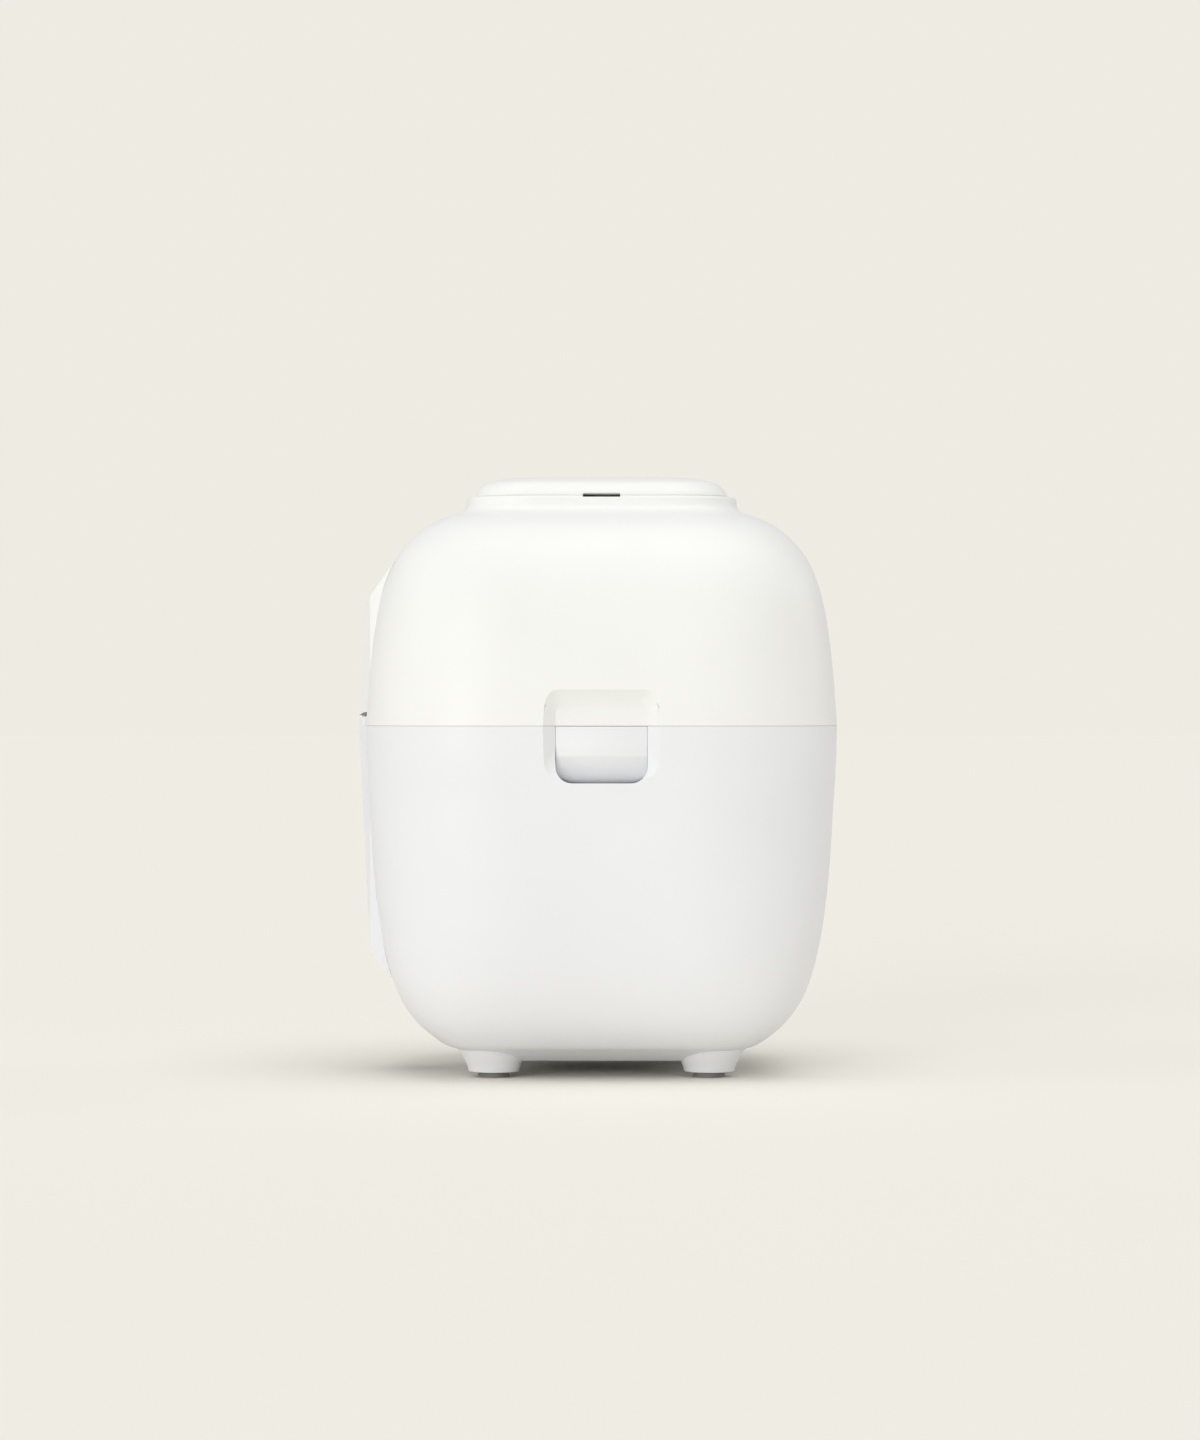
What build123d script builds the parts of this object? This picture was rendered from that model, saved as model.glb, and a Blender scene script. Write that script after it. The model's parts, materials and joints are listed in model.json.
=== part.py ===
from build123d import *
import math
import os

# Compact electric pressure cooker in millimetres, +Z up, standing on z = 0.
# The lid's hinge is at -X, the controls are at +X and the two latches are at -Y and +Y.
# Every piece is drawn about the pot's axis and is moved to the part's origin when it is written.

# Body outline
body_half = 108.0  # half width across the flats at the seam
flat_half = 50.0  # half length of the straight run of each side
seam_z = 160.5
seam_gap = 0.3
belly_z = 7.5
belly_flat_half = 40.0  # the straight run shortens to this at the belly
dome_rise = 98.8
dome_flat_half = 40.0  # and to this at the top of the dome
wall = 2.6
fit_gap = 0.4  # between moulded pieces that meet in a visible line
run_gap = 0.05  # round a turning pin
section_count = 15

# How far the wall draws in from the seam's half width, by share of the height
base_pull_in = [
    (0.0, 54.0),
    (0.016, 48.0),
    (0.0333, 41.6),
    (0.054, 34.0),
    (0.123, 21.9),
    (0.219, 13.4),
    (0.363, 7.5),
    (0.552, 3.8),
    (0.768, 1.6),
    (1.0, 0.0),
]
lid_pull_in = [
    (0.0, 0.0),
    (0.20, 1.4),
    (0.38, 3.2),
    (0.541, 5.7),
    (0.683, 9.5),
    (0.805, 15.6),
    (0.905, 25.1),
    (0.957, 34.0),
    (1.0, 52.0),
]
seam_run_on = 6.0  # each outline runs straight on past the seam before it is cut there

# Plinth and steam cover on top of the lid
plinth_half = 62.4
plinth_flat_half = 38.0
plinth_rise = 6.0
plinth_flare = 2.6
plinth_flare_height = 3.4
plinth_edge = 0.8
cover_inset = 4.4
cover_gap = 0.4
cover_rise = 9.3
cover_pull_in = [
    (0.0, 0.0),
    (0.22, 0.8),
    (0.45, 2.3),
    (0.67, 4.8),
    (0.86, 11.0),
    (1.0, 24.0),
]
cover_wall = 2.2
cover_soften = 16.0  # the straight run is this much shorter at the top of the cover
cover_well_r = 39.5
cover_skirt_depth = 7.0
cover_skirt_wall = 1.6
cover_skirt_play = 0.6
notch_half = 8.5
notch_height = 1.1  # up into the cover
notch_depth = 0.8  # down into the plinth
notch_corner = 0.6

# Feet
leg_in = 58.7  # from the body's half width
leg_r = 11.6
leg_flare = 3.6
leg_flare_height = 8.8
leg_root_height = 24.0
pad_r = 7.2
pad_height = 2.5
pad_seat = 1.0

# Side recesses and latches
recess_half = 20.5
recess_depth = 5.0
recess_ramp = 5.6
recess_above = 19.9  # from the seam up to where the ceiling would meet a flat wall
recess_floor_above = 9.1
recess_corner = 3.0
recess_fade_below = 13.5
button_below = 25.6
button_bend_below = 12.6
button_corner = 5.6
button_bend_r = 5.0
button_tilt = 32.0  # degrees, how far the lower half of the button turns in
button_wall = 3.0
latch_pin_r = 1.5
latch_pin_in = 9.0  # behind the recess floor
latch_pin_below = 10.5
latch_ear = 3.2
hook_half = 12.0
hook_wall = 2.0
hook_in = 6.5
hook_above = 9.5
hook_nose = 2.5
hook_nose_height = 2.3
hook_play = 0.4
latch_sweep = 4.2  # room kept outside the hook for its swing
spring_wire_r = 0.45
spring_length = 14.0

# Rear hinge and spine
spine_proud = 4.1
spine_half = 30.0
spine_crown_half = 25.0
spine_root_half = 44.0
spine_root_depth = 6.0
spine_low_z = 45.0
spine_shoulder_above = 56.5
spine_top_above = 75.5
spine_edge = 1.5
knuckle_r = 4.0
arm_half = 9.8
arm_wall = 2.0
arm_on_frame = 11.7  # how far the arm lies on the lid frame
bracket_wall = 4.0
bracket_play = 0.3
hinge_pin_r = 1.5
hinge_clear_r = 6.2  # the lid keeps this far from the hinge axis beside the ears

# Pot and heater
pot_r = 83.0
pot_wall = 1.6
pot_floor_z = 52.0
pot_corner = 14.0
pot_rim_width = 8.0
pot_rim = 1.0
deck_below = 1.1
deck_wall = 2.2
deck_collar = 6.0
deck_collar_gap = 5.3
shield_gap = 4.5
shield_z = 40.0
shield_wall = 0.8
shield_corner = 10.0
plate_r = 64.0
plate_hole_r = 18.0
plate_thick = 7.6
heater_pin_r = 2.5
heater_pin_y = 57.0
sensor_r = 15.0
sensor_travel = 3.0
sensor_stem_r = 4.0
sensor_wire_r = 0.6

# Inside of the lid
liner_above = 0.8
liner_wall = 2.2
gasket_gap = 0.5
gasket_lip_wall = 1.9
gasket_lip_depth = 9.0
gasket_above = 0.2
inner_lid_above = 2.5
inner_lid_wall = 1.2
inner_lid_rise = 4.0
frame_above = 4.7
frame_wall = 2.0
frame_hole_r = 60.0
lug_in = 38.0  # from the body's half width
lug_r = 7.5
valve_x = 22.0
vent_r = 4.5
vent_bore_r = 1.5
vent_above = 29.5
bush_r = 5.0
weight_r = 10.0
weight_above = 41.5
float_r = 2.0
float_travel = 2.7
duct_r = 36.0
duct_wall = 2.0
duct_above = 12.0

# Control panel at the front
panel_half = 30.0
panel_below = 24.5
panel_height = 62.0
panel_corner = 8.0
window_half = 21.0
window_height = 24.0
window_inset = 6.0
window_corner = 3.0
key_count = 4
key_pitch = 13.0
key_above = 14.0  # from the panel's lower edge
key_r = 5.2
key_stem_r = 2.0
key_travel = 0.8
board_in = 15.0
board_wall = 1.6
switch_height = 1.8
switch_half = 3.0

# Underside and mains inlet
cover_plate_r = 49.6
cover_plate_lip = 4.0
cover_plate_wall = 2.0
slot_count = 7
slot_pitch = 7.0
slot_half = 1.4
slot_reach = 18.0
board_post = 6.0
screw_at = 30.0
screw_r = 1.6
screw_head_r = 3.2
screw_head = 2.0
screw_play = 0.2
inlet_half = 15.0
inlet_low_z = 14.5
inlet_high_z = 36.5
inlet_wall = 1.5
inlet_in = 32.0
socket_half = 12.3
socket_half_height = 8.4
socket_depth = 16.0
blade = 2.0
blade_length = 10.0

# Places worked out from the sizes above
dome_z = seam_z + dome_rise
plinth_z = dome_z + plinth_rise
cover_half = plinth_half - cover_inset
cover_low_z = plinth_z + cover_gap
cover_z = cover_low_z + cover_rise
leg_at = body_half - leg_in
recess_y = body_half - recess_depth
recess_top_z = seam_z + recess_above
recess_floor_top_z = seam_z + recess_floor_above
recess_fade_z = seam_z - recess_fade_below
button_low_z = seam_z - button_below
button_bend_z = seam_z - button_bend_below
latch_pin_y = recess_y - latch_pin_in
latch_pin_z = seam_z - latch_pin_below
hook_y = recess_y - hook_in
hook_top_z = seam_z + hook_above
spine_reach = body_half + spine_proud
spine_shoulder_z = seam_z + spine_shoulder_above
spine_top_z = seam_z + spine_top_above
axis_x = spine_proud / 2
hinge_x = knuckle_r - spine_reach
hinge_z = seam_z
ear_z = hinge_z + knuckle_r + 0.1
hinge_way = arm_half + bracket_play + bracket_wall + 0.5
base_top_z = seam_z - seam_gap / 2
lid_low_z = seam_z + seam_gap / 2
floor_in_z = belly_z + wall
pot_rim_r = pot_r + pot_rim_width
deck_z = seam_z - deck_below
deck_low_z = deck_z - deck_wall
pot_rim_z = deck_z + pot_rim
shield_r = pot_r + shield_gap
shield_in_z = shield_z + shield_wall
plate_z = pot_floor_z - fit_gap - plate_thick
plate_top_z = plate_z + plate_thick
liner_z = seam_z + liner_above
gasket_r = pot_rim_r - 0.8
frame_r = gasket_r - 0.4
gasket_lip_r = pot_r - pot_wall - gasket_gap
gasket_z = seam_z + gasket_above
inner_lid_z = seam_z + inner_lid_above
inner_lid_top_z = inner_lid_z + inner_lid_rise
frame_z = seam_z + frame_above
frame_top_z = frame_z + frame_wall
lug_at = body_half - lug_in
vent_top_z = seam_z + vent_above
weight_top_z = seam_z + weight_above
duct_z = seam_z + duct_above
panel_high_z = seam_z - panel_below
panel_low_z = panel_high_z - panel_height
window_high_z = panel_high_z - window_inset
window_low_z = window_high_z - window_height
key_z = panel_low_z + key_above
board_x = body_half - board_in
board_top_x = board_x + board_wall
switch_x = board_top_x + switch_height
key_tip_x = switch_x + fit_gap + key_travel
board_low_z = floor_in_z + cover_plate_wall + board_post
board_top_z = board_low_z + board_wall
inlet_face_x = body_half - inlet_in
inlet_mid_z = (inlet_low_z + inlet_high_z) / 2


def disc(radius, low, high):
    return Pos(0, 0, (low + high) / 2) * Cylinder(radius, high - low)


def ring(outer, inner, low, high):
    return disc(outer, low, high) - disc(inner, low, high)


def block(x, y, z):
    size = Box(x[1] - x[0], y[1] - y[0], z[1] - z[0])
    return Pos((x[0] + x[1]) / 2, (y[0] + y[1]) / 2, (z[0] + z[1]) / 2) * size


def rod_x(radius, y, z, low, high):
    return Pos((low + high) / 2, y, z) * Rot(0, 90, 0) * Cylinder(radius, high - low)


def rod_y(radius, x, z, low, high):
    return Pos(x, (low + high) / 2, z) * Rot(90, 0, 0) * Cylinder(radius, high - low)


def squircle(half, straight, z):
    return Plane.XY.offset(z) * RectangleRounded(2 * half, 2 * half, half - straight)


def slab(half, straight, low, high):
    return extrude(squircle(half, straight, low), high - low)


def turned(points):
    """A solid turned about Z from an outline of (radius, height) points."""
    outline = Polyline(*[(r, 0, z) for r, z in points], close=True)
    return revolve(make_face(outline), Axis.Z)


def four(at, piece):
    return [Pos(x, y, 0) * piece for x in (-at, at) for y in (-at, at)]


def joined(pieces):
    result = pieces[0]
    for piece in pieces[1:]:
        result = result + piece
    return result


def other_side(piece):
    return mirror(piece, about=Plane.XZ)


# ---------------------------------------------------------------- body outline


def eased(share):
    share = min(1.0, max(0.0, share))
    return share * share * (3 - 2 * share)


def lid_straight(z):
    """Half length of the straight run, which shortens over the upper half of the dome."""
    middle = (seam_z + dome_z) / 2
    return flat_half - (flat_half - dome_flat_half) * eased((z - middle) / (dome_z - middle))


def base_straight(z):
    """Half length of the straight run, which shortens over the lowest fifth of the body."""
    top = belly_z + (seam_z - belly_z) / 5
    return flat_half - (flat_half - belly_flat_half) * eased((top - z) / (top - belly_z))


def wall_loft(curve, inset, straight_at):
    """The body's rounded-square volume along an outline, drawn in by inset."""
    sections = []
    for step in range(section_count):
        share = step / (section_count - 1)
        at = curve.position_at(share)
        along = curve.tangent_at(share)
        half = at.X - inset * along.Z
        height = at.Z + inset * along.X
        sections.append(squircle(half, straight_at(height), height))
    return loft(sections)


def outline_points(pull_in, low, high):
    return [(body_half - pull, 0, low + share * (high - low)) for share, pull in pull_in]


def base_volume(inset):
    points = outline_points(base_pull_in, belly_z, seam_z)
    points.append((body_half, 0, seam_z + seam_run_on))
    curve = Spline(*points, tangents=[(1, 0, 0), (0, 0, 1)])
    return wall_loft(curve, inset, base_straight)


def lid_volume(inset):
    points = [(body_half, 0, seam_z - seam_run_on)]
    points += outline_points(lid_pull_in, seam_z, dome_z)
    curve = Spline(*points, tangents=[(0, 0, 1), (-1, 0, 0.06)])
    return wall_loft(curve, inset, lid_straight)


def below(shape, z):
    return split(shape, bisect_by=Plane.XY.offset(z), keep=Keep.BOTTOM)


def above(shape, z):
    return split(shape, bisect_by=Plane.XY.offset(z), keep=Keep.TOP)


base_outer = below(base_volume(0), base_top_z)
base_inner = base_volume(wall)
lid_outer = above(lid_volume(0), lid_low_z)
lid_inner = lid_volume(wall)


# ---------------------------------------------------------------- side recess


def recess_face(y, half, low, high, corner):
    outline = RectangleRounded(2 * half, high - low, corner)
    middle = (low + high) / 2
    return Plane(origin=(0, -y, middle), x_dir=(1, 0, 0), z_dir=(0, -1, 0)) * outline


def recess_tool(low_z, low_rise, extra):
    """The finger recess of the -Y side; extra grows it into the backing behind its walls."""
    out = 3.0
    spread = (recess_depth + out) / recess_depth
    floor_y = recess_y - extra
    half = recess_half + extra
    top = recess_floor_top_z + extra
    low = low_z - extra
    ramp_top = (recess_top_z - recess_floor_top_z) * spread
    floor = recess_face(floor_y, half, low, top, recess_corner)
    mouth = recess_face(
        floor_y + recess_depth + out,
        half + recess_ramp * spread,
        low - low_rise * spread,
        top + ramp_top,
        recess_corner + 1,
    )
    return loft([floor, mouth], ruled=True)


def lid_recess(extra):
    return recess_tool(seam_z - 20, 0.0, extra)


def base_recess(extra):
    return recess_tool(recess_fade_z, recess_fade_z - button_low_z, extra)


def button_outline(gap, low_y, high_y, high_z):
    """A block of the button's front view, rounded at its two lower corners."""
    half = recess_half - gap
    low = button_low_z + gap
    corner = button_corner - gap
    over = corner + 5
    outline = RectangleRounded(2 * half, high_z + over - low, corner)
    plane = Plane(
        origin=(0, -high_y, (low + high_z + over) / 2), x_dir=(1, 0, 0), z_dir=(0, 1, 0)
    )
    return below(extrude(plane * outline, high_y - low_y), high_z)


# ---------------------------------------------------------------- base body


def leg():
    """A foot turned about Z, flared where it runs into the belly."""
    flare_z = pad_height + leg_flare_height
    flare = Spline(
        (leg_r, 0, pad_height),
        (leg_r + leg_flare * 0.3, 0, pad_height + leg_flare_height * 0.55),
        (leg_r + leg_flare, 0, flare_z),
        tangents=[(0.1, 0, 1), (0.6, 0, 1)],
    )
    root = Polyline(
        flare @ 1, (leg_r + leg_flare, 0, leg_root_height), (0, 0, leg_root_height),
        (0, 0, pad_height), flare @ 0
    )
    return revolve(make_face(flare + root), Axis.Z)


def base_shell():
    body = base_outer + joined(four(leg_at, leg()))
    backing = base_recess(wall)
    cavity = base_inner - backing - other_side(backing)
    button_way = button_outline(0, latch_pin_y - 2, body_half + 5, seam_z + 2)
    body = body - cavity - base_recess(0) - other_side(base_recess(0))
    body = body - button_way - other_side(button_way)
    body = body - disc(cover_plate_r + fit_gap, 0, floor_in_z + 1)
    body = body - joined(four(leg_at, disc(pad_r + 0.1, 0, pad_height + pad_seat)))
    body = body - panel_prism(0)
    body = body - block((-body_half, -50), (-inlet_half, inlet_half), (inlet_low_z, inlet_high_z))
    hinge_window = block(
        (hinge_x - 2, hinge_x + 8), (-hinge_way, hinge_way), (hinge_z - 14, seam_z + 1)
    )
    pin_way = rod_y(hinge_pin_r + 0.6, hinge_x, hinge_z, -spine_half, spine_half)
    return body - hinge_window - pin_way


def foot_pad():
    return disc(pad_r, 0, pad_height + pad_seat)


def bottom_cover():
    cover = disc(cover_plate_r, belly_z, floor_in_z)
    cover = cover + disc(cover_plate_r + cover_plate_lip, floor_in_z, floor_in_z + cover_plate_wall)
    top = floor_in_z + cover_plate_wall
    for number in range(slot_count):
        x = (number - (slot_count - 1) / 2) * slot_pitch
        cover = cover - block(
            (x - slot_half, x + slot_half), (-slot_reach, slot_reach), (0, top + 1)
        )
    sink = disc(screw_head_r + screw_play, 0, belly_z + screw_head + 0.6)
    cover = cover - joined(four(screw_at, sink))
    cover = cover - joined(four(screw_at, disc(screw_r + screw_play, 0, top + 1)))
    posts = [
        Pos(x, y, 0) * disc(2.6, top, board_low_z) for x in (-40, 40) for y in (-20, 20)
    ]
    return cover + joined(posts)


def cover_screws():
    top = floor_in_z + cover_plate_wall + 12
    low = belly_z + 0.6
    screw = disc(screw_head_r, low, low + screw_head) + disc(screw_r, low, top)
    screw = screw - block((-0.5, 0.5), (-2, 2), (low - 1, low + 1))
    return joined(four(screw_at, screw))


def base_deck():
    """The flat ring round the pot, with the two latch wells and the ears of their pins."""
    low = deck_low_z
    deck = slab(body_half - wall - fit_gap, flat_half, low, deck_z)
    collar_r = pot_r + deck_collar_gap
    deck = deck + disc(collar_r + 2, low - deck_collar, low) - disc(collar_r, 0, seam_z)
    ear_low = latch_pin_z - 5
    ear_x = (recess_half + 0.5, recess_half + 0.5 + latch_ear)
    ear = block(ear_x, (-latch_pin_y - 4, -latch_pin_y + 4), (ear_low, low))
    ears = ear + mirror(ear, about=Plane.YZ)
    ears = ears - rod_x(latch_pin_r, -latch_pin_y, latch_pin_z, -40, 40)
    well = block(
        (-recess_half, recess_half), (-body_half, -latch_pin_y + 2.2), (ear_low - 20, seam_z)
    )
    deck = deck - well - other_side(well)
    deck = deck - block((-body_half, hinge_x + 8), (-hinge_way, hinge_way), (low - 1, seam_z))
    trim = base_recess(wall + 0.3)
    deck = deck - trim - other_side(trim)
    return deck + ears + other_side(ears)


def heat_shield():
    top = deck_low_z - deck_collar
    shell = disc(shield_r, shield_z, top)
    shell = fillet(shell.edges().group_by(Axis.Z)[0], shield_corner)
    hollow = disc(shield_r - shield_wall, shield_in_z, seam_z)
    hollow = fillet(hollow.edges().group_by(Axis.Z)[0], shield_corner - shield_wall)
    shell = shell - hollow + ring(shield_r + 2.5, shield_r - shield_wall, top - 1.2, top)
    shell = shell - disc(sensor_stem_r + 0.6, 0, shield_in_z + 1)
    for y in (-heater_pin_y, heater_pin_y):
        shell = shell - Pos(0, y, 0) * disc(4, shield_z - 1, shield_in_z + 1)
    post = disc(4.2, floor_in_z + cover_plate_wall, shield_z)
    post = post - disc(screw_r, 0, floor_in_z + cover_plate_wall + 12)
    return shell + joined(four(screw_at, post))


def heating_plate():
    plate = disc(plate_r, plate_z, plate_top_z)
    plate = fillet(plate.edges().group_by(Axis.Z)[-1], 2.0)
    plate = plate - disc(plate_hole_r, 0, seam_z)
    return plate + ring(54, 50, shield_in_z, plate_z)


def heater_pins():
    pin = disc(heater_pin_r, shield_z - 8, plate_z)
    return joined([Pos(0, y, 0) * pin for y in (-heater_pin_y, heater_pin_y)])


def inner_pot():
    pot = disc(pot_r, pot_floor_z, deck_z)
    pot = fillet(pot.edges().group_by(Axis.Z)[0], pot_corner)
    hollow = disc(pot_r - pot_wall, pot_floor_z + pot_wall, pot_rim_z)
    hollow = fillet(hollow.edges().group_by(Axis.Z)[0], pot_corner - pot_wall)
    rim = disc(pot_rim_r, deck_z, pot_rim_z)
    return pot + rim - hollow


def pot_sensor():
    neck = plate_top_z - 6
    return disc(sensor_r, neck, plate_top_z) + disc(sensor_stem_r, shield_z - 6, neck)


def sensor_spring():
    low = shield_in_z + 0.1
    high = plate_top_z - 6.1
    height = high - low - 2 * sensor_wire_r
    path = Pos(0, 0, low + sensor_wire_r) * Helix(height / 2.5, height, sensor_stem_r + 2.2)
    section = Plane(origin=path @ 0, z_dir=path % 0) * Circle(sensor_wire_r)
    return sweep(section, path=path)


def thermal_fuse():
    return rod_x(2.0, 26, shield_z - 2.0, -8, 8)


def power_board():
    return block((-45, 45), (-24, 24), (board_low_z, board_top_z))


def board_parts():
    top = board_top_z
    transformer = block((-38, -16), (-20, 0), (top, top + 14))
    relay = block((-8, 8), (6, 20), (top, top + 12))
    heat_sink = joined(
        [block((14 + 5 * n, 16 + 5 * n), (-20, 0), (top + 1.5, top + 13)) for n in range(5)]
    )
    heat_sink = heat_sink + block((12, 38), (-20, 0), (top, top + 2))
    capacitor = Pos(22, 14, 0) * disc(5, top, top + 15)
    small_capacitor = Pos(-24, 12, 0) * disc(4, top, top + 12)
    return joined([transformer, relay, heat_sink, capacitor, small_capacitor])


def inlet_box(x, gap):
    return block(x, (-inlet_half + gap, inlet_half - gap), (inlet_low_z + gap, inlet_high_z - gap))


def inlet_socket():
    back_x = -inlet_face_x + socket_depth + 3
    housing = inlet_box((-body_half, back_x), 0) & base_outer
    housing = housing - inlet_box((-body_half, -inlet_face_x), inlet_wall)
    hollow = block(
        (-inlet_face_x - 1, -inlet_face_x + socket_depth),
        (-socket_half, socket_half),
        (inlet_mid_z - socket_half_height, inlet_mid_z + socket_half_height),
    )
    return housing - hollow


def inlet_blades():
    root_x = -inlet_face_x + socket_depth
    blades = []
    for y, z in ((-7.0, -2.2), (7.0, -2.2), (0.0, 2.2)):
        height = inlet_mid_z + z
        blades.append(
            block((root_x - blade_length, root_x), (y - blade / 2, y + blade / 2), (height - 2, height + 2))
        )
    return joined(blades)


# ---------------------------------------------------------------- control panel


def front_prism(half, low, high, corner):
    outline = RectangleRounded(2 * half, high - low, corner)
    plane = Plane(origin=(60, 0, (low + high) / 2), x_dir=(0, 1, 0), z_dir=(1, 0, 0))
    return extrude(plane * outline, body_half - 40)


def panel_prism(gap):
    return front_prism(panel_half - gap, panel_low_z + gap, panel_high_z - gap, panel_corner - gap)


def window_prism(gap):
    corner = window_corner - gap
    return front_prism(window_half - gap, window_low_z + gap, window_high_z - gap, corner)


def key_places():
    return [(number - (key_count - 1) / 2) * key_pitch for number in range(key_count)]


def control_panel():
    panel = (base_outer - base_inner) & panel_prism(0.1)
    panel = panel - window_prism(0)
    for y in key_places():
        panel = panel - rod_x(key_r + fit_gap, y, key_z, 60, body_half)
    return panel


def display_window():
    return (base_outer - base_inner) & window_prism(0.1)


def key(y):
    cap = (base_outer - base_inner) & rod_x(key_r, y, key_z, 60, body_half)
    stem = rod_x(key_stem_r, y, key_z, key_tip_x, body_half - wall) & base_outer
    return cap + (stem - (base_outer - base_inner))


def control_board():
    half = panel_half - 3
    board = block((board_x, board_top_x), (-half, half), (panel_low_z + 3, panel_high_z - 3))
    for y in key_places():
        board = board + block(
            (board_top_x, switch_x),
            (y - switch_half, y + switch_half),
            (key_z - switch_half, key_z + switch_half),
        )
    display = block(
        (board_top_x, board_top_x + 4),
        (-window_half + 2, window_half - 2),
        (window_low_z + 1, window_high_z - 1),
    )
    return board + display


# ---------------------------------------------------------------- side latches, drawn at -Y


def latch_button():
    """A rocker whose lower half turns in, so that a fingertip presses under the bend."""
    tilt = math.radians(button_tilt)
    low = button_low_z + fit_gap
    back_r = button_bend_r - button_wall
    centre_y = recess_y - button_bend_r

    def on_bend(radius, angle):
        return (0, -centre_y - radius * math.cos(angle), button_bend_z - radius * math.sin(angle))

    def run_down(start):
        drop = start[2] - low
        return (0, start[1] + drop * math.tan(tilt), low)

    top_z = base_top_z - 0.35
    front = Line((0, -recess_y, top_z), (0, -recess_y, button_bend_z))
    bend = ThreePointArc(front @ 1, on_bend(button_bend_r, tilt / 2), on_bend(button_bend_r, tilt))
    front_end = run_down(on_bend(button_bend_r, tilt))
    back_end = run_down(on_bend(back_r, tilt))
    skin = Polyline(bend @ 1, front_end, back_end, on_bend(back_r, tilt))
    back_bend = ThreePointArc(skin @ 1, on_bend(back_r, tilt / 2), on_bend(back_r, 0))
    back = Polyline(back_bend @ 1, (0, -recess_y + button_wall, top_z), front @ 0)
    section = make_face(front + bend + skin + back_bend + back)
    panel = extrude(section, recess_half, both=True)
    panel = panel & button_outline(fit_gap, 60, body_half, seam_z)
    back_y = -recess_y + button_wall
    lug_x = (recess_half - fit_gap - 4, recess_half - fit_gap)
    lug = block(lug_x, (back_y - 1, -latch_pin_y + 2.6), (latch_pin_z - 3.5, latch_pin_z + 3.5))
    boss = block((-hook_half, hook_half), (back_y - 1, -hook_y), (latch_pin_z + 3, latch_pin_z + 8))
    button = panel + lug + mirror(lug, about=Plane.YZ) + boss
    return button - rod_x(latch_pin_r + run_gap, -latch_pin_y, latch_pin_z, -40, 40)


def latch_hook():
    inner_y = -hook_y + hook_wall
    plate = block((-hook_half, hook_half), (-hook_y, inner_y), (latch_pin_z + 3.4, hook_top_z))
    nose = block(
        (-hook_half, hook_half), (inner_y, inner_y + hook_nose), (hook_top_z - hook_nose_height, hook_top_z)
    )
    slot_height = (latch_pin_z + 10, hook_top_z - 6)
    slot = block((-hook_half + 4, hook_half - 4), (-hook_y - 1, inner_y + 1), slot_height)
    return plate + nose - slot


def latch_pin():
    end = recess_half + 0.5 + latch_ear
    return rod_x(latch_pin_r, -latch_pin_y, latch_pin_z, -end, end)


def latch_spring():
    coil_r = latch_pin_r + run_gap + spring_wire_r + 0.5
    helix = Helix(spring_length / 9, spring_length, coil_r)
    path = Pos(-spring_length / 2, -latch_pin_y, latch_pin_z) * Rot(0, 90, 0) * helix
    section = Plane(origin=path @ 0, z_dir=path % 0) * Circle(spring_wire_r)
    return sweep(section, path=path)


# ---------------------------------------------------------------- rear hinge and spine


def spine_prism(first, curve, last):
    """A spine cover of that side outline, narrowed from its root to its crown."""
    inner_x = -body_half * 0.74
    back = Spline(*[(-reach, 0, z) for reach, z in curve])
    ends = [back @ 1]
    ends += [(-reach, 0, z) for reach, z in last]
    ends += [(inner_x, 0, (curve + last)[-1][1]), (inner_x, 0, (first + curve)[0][1])]
    ends += [(-reach, 0, z) for reach, z in first]
    ends += [back @ 0]
    outline = make_face(back + Polyline(*ends))
    cover = extrude(outline, spine_root_half, both=True)
    crown = (-spine_reach, spine_crown_half)
    root = (-spine_reach + spine_root_depth, spine_root_half)
    plan = [crown, root, (inner_x, spine_root_half)]
    plan += [(x, -y) for x, y in reversed(plan)]
    return cover & extrude(make_face(Polyline(*plan, close=True)), dome_z)


def spine_upper():
    low = ear_z + 0.3
    cover = spine_prism(
        [],
        [
            (spine_reach, low),
            (spine_reach - 0.9, seam_z + 21.5),
            (spine_reach - 2.2, seam_z + 38.5),
            (spine_reach - 3.9, spine_shoulder_z),
        ],
        [(spine_reach - 17.1, spine_top_z)],
    )
    way = arm_half + fit_gap
    cover = cover - block((-spine_reach - 1, -90), (-way, way), (low - 1, hinge_z + 9.2))
    clear = rod_y(hinge_clear_r, hinge_x, hinge_z, -spine_root_half - 1, spine_root_half + 1)
    beside = block((-spine_reach - 1, hinge_x + 3), (-60, 60), (hinge_z, hinge_z + hinge_clear_r))
    beside = beside - block((-spine_reach - 2, 0), (-spine_half, spine_half), (0, dome_z))
    return cover - lid_outer - clear - beside


def spine_lower():
    reach = spine_reach
    span = base_top_z - spine_low_z
    cover = spine_prism(
        [(reach - 15.1, spine_low_z)],
        [
            (reach - 6.1, spine_low_z + 12),
            (reach - 4.5, spine_low_z + span * 0.34),
            (reach - 2.9, spine_low_z + span * 0.58),
            (reach - 0.9, spine_low_z + span * 0.83),
            (reach, base_top_z),
        ],
        [],
    )
    ear = block((-reach, hinge_x + 3), (-spine_half, spine_half), (base_top_z - 1, ear_z))
    ear_edges = ear.edges().filter_by(Axis.Y).group_by(Axis.Z)[-1]
    ear = fillet(ear_edges, spine_edge)
    ear = ear & extrude(
        make_face(
            Polyline(
                (-reach, -spine_crown_half), (-reach + spine_root_depth, -spine_root_half),
                (0, 0), (-reach + spine_root_depth, spine_root_half), (-reach, spine_crown_half),
                close=True
            )
        ),
        dome_z,
    )
    cover = cover + ear
    cover = cover - block((-reach - 1, hinge_x + 4), (-hinge_way, hinge_way), (hinge_z - 6.6, ear_z + 1))
    cover = cover - rod_y(hinge_pin_r, hinge_x, hinge_z, -spine_half + 1.5, spine_half - 1.5)
    return cover - base_outer


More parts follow.
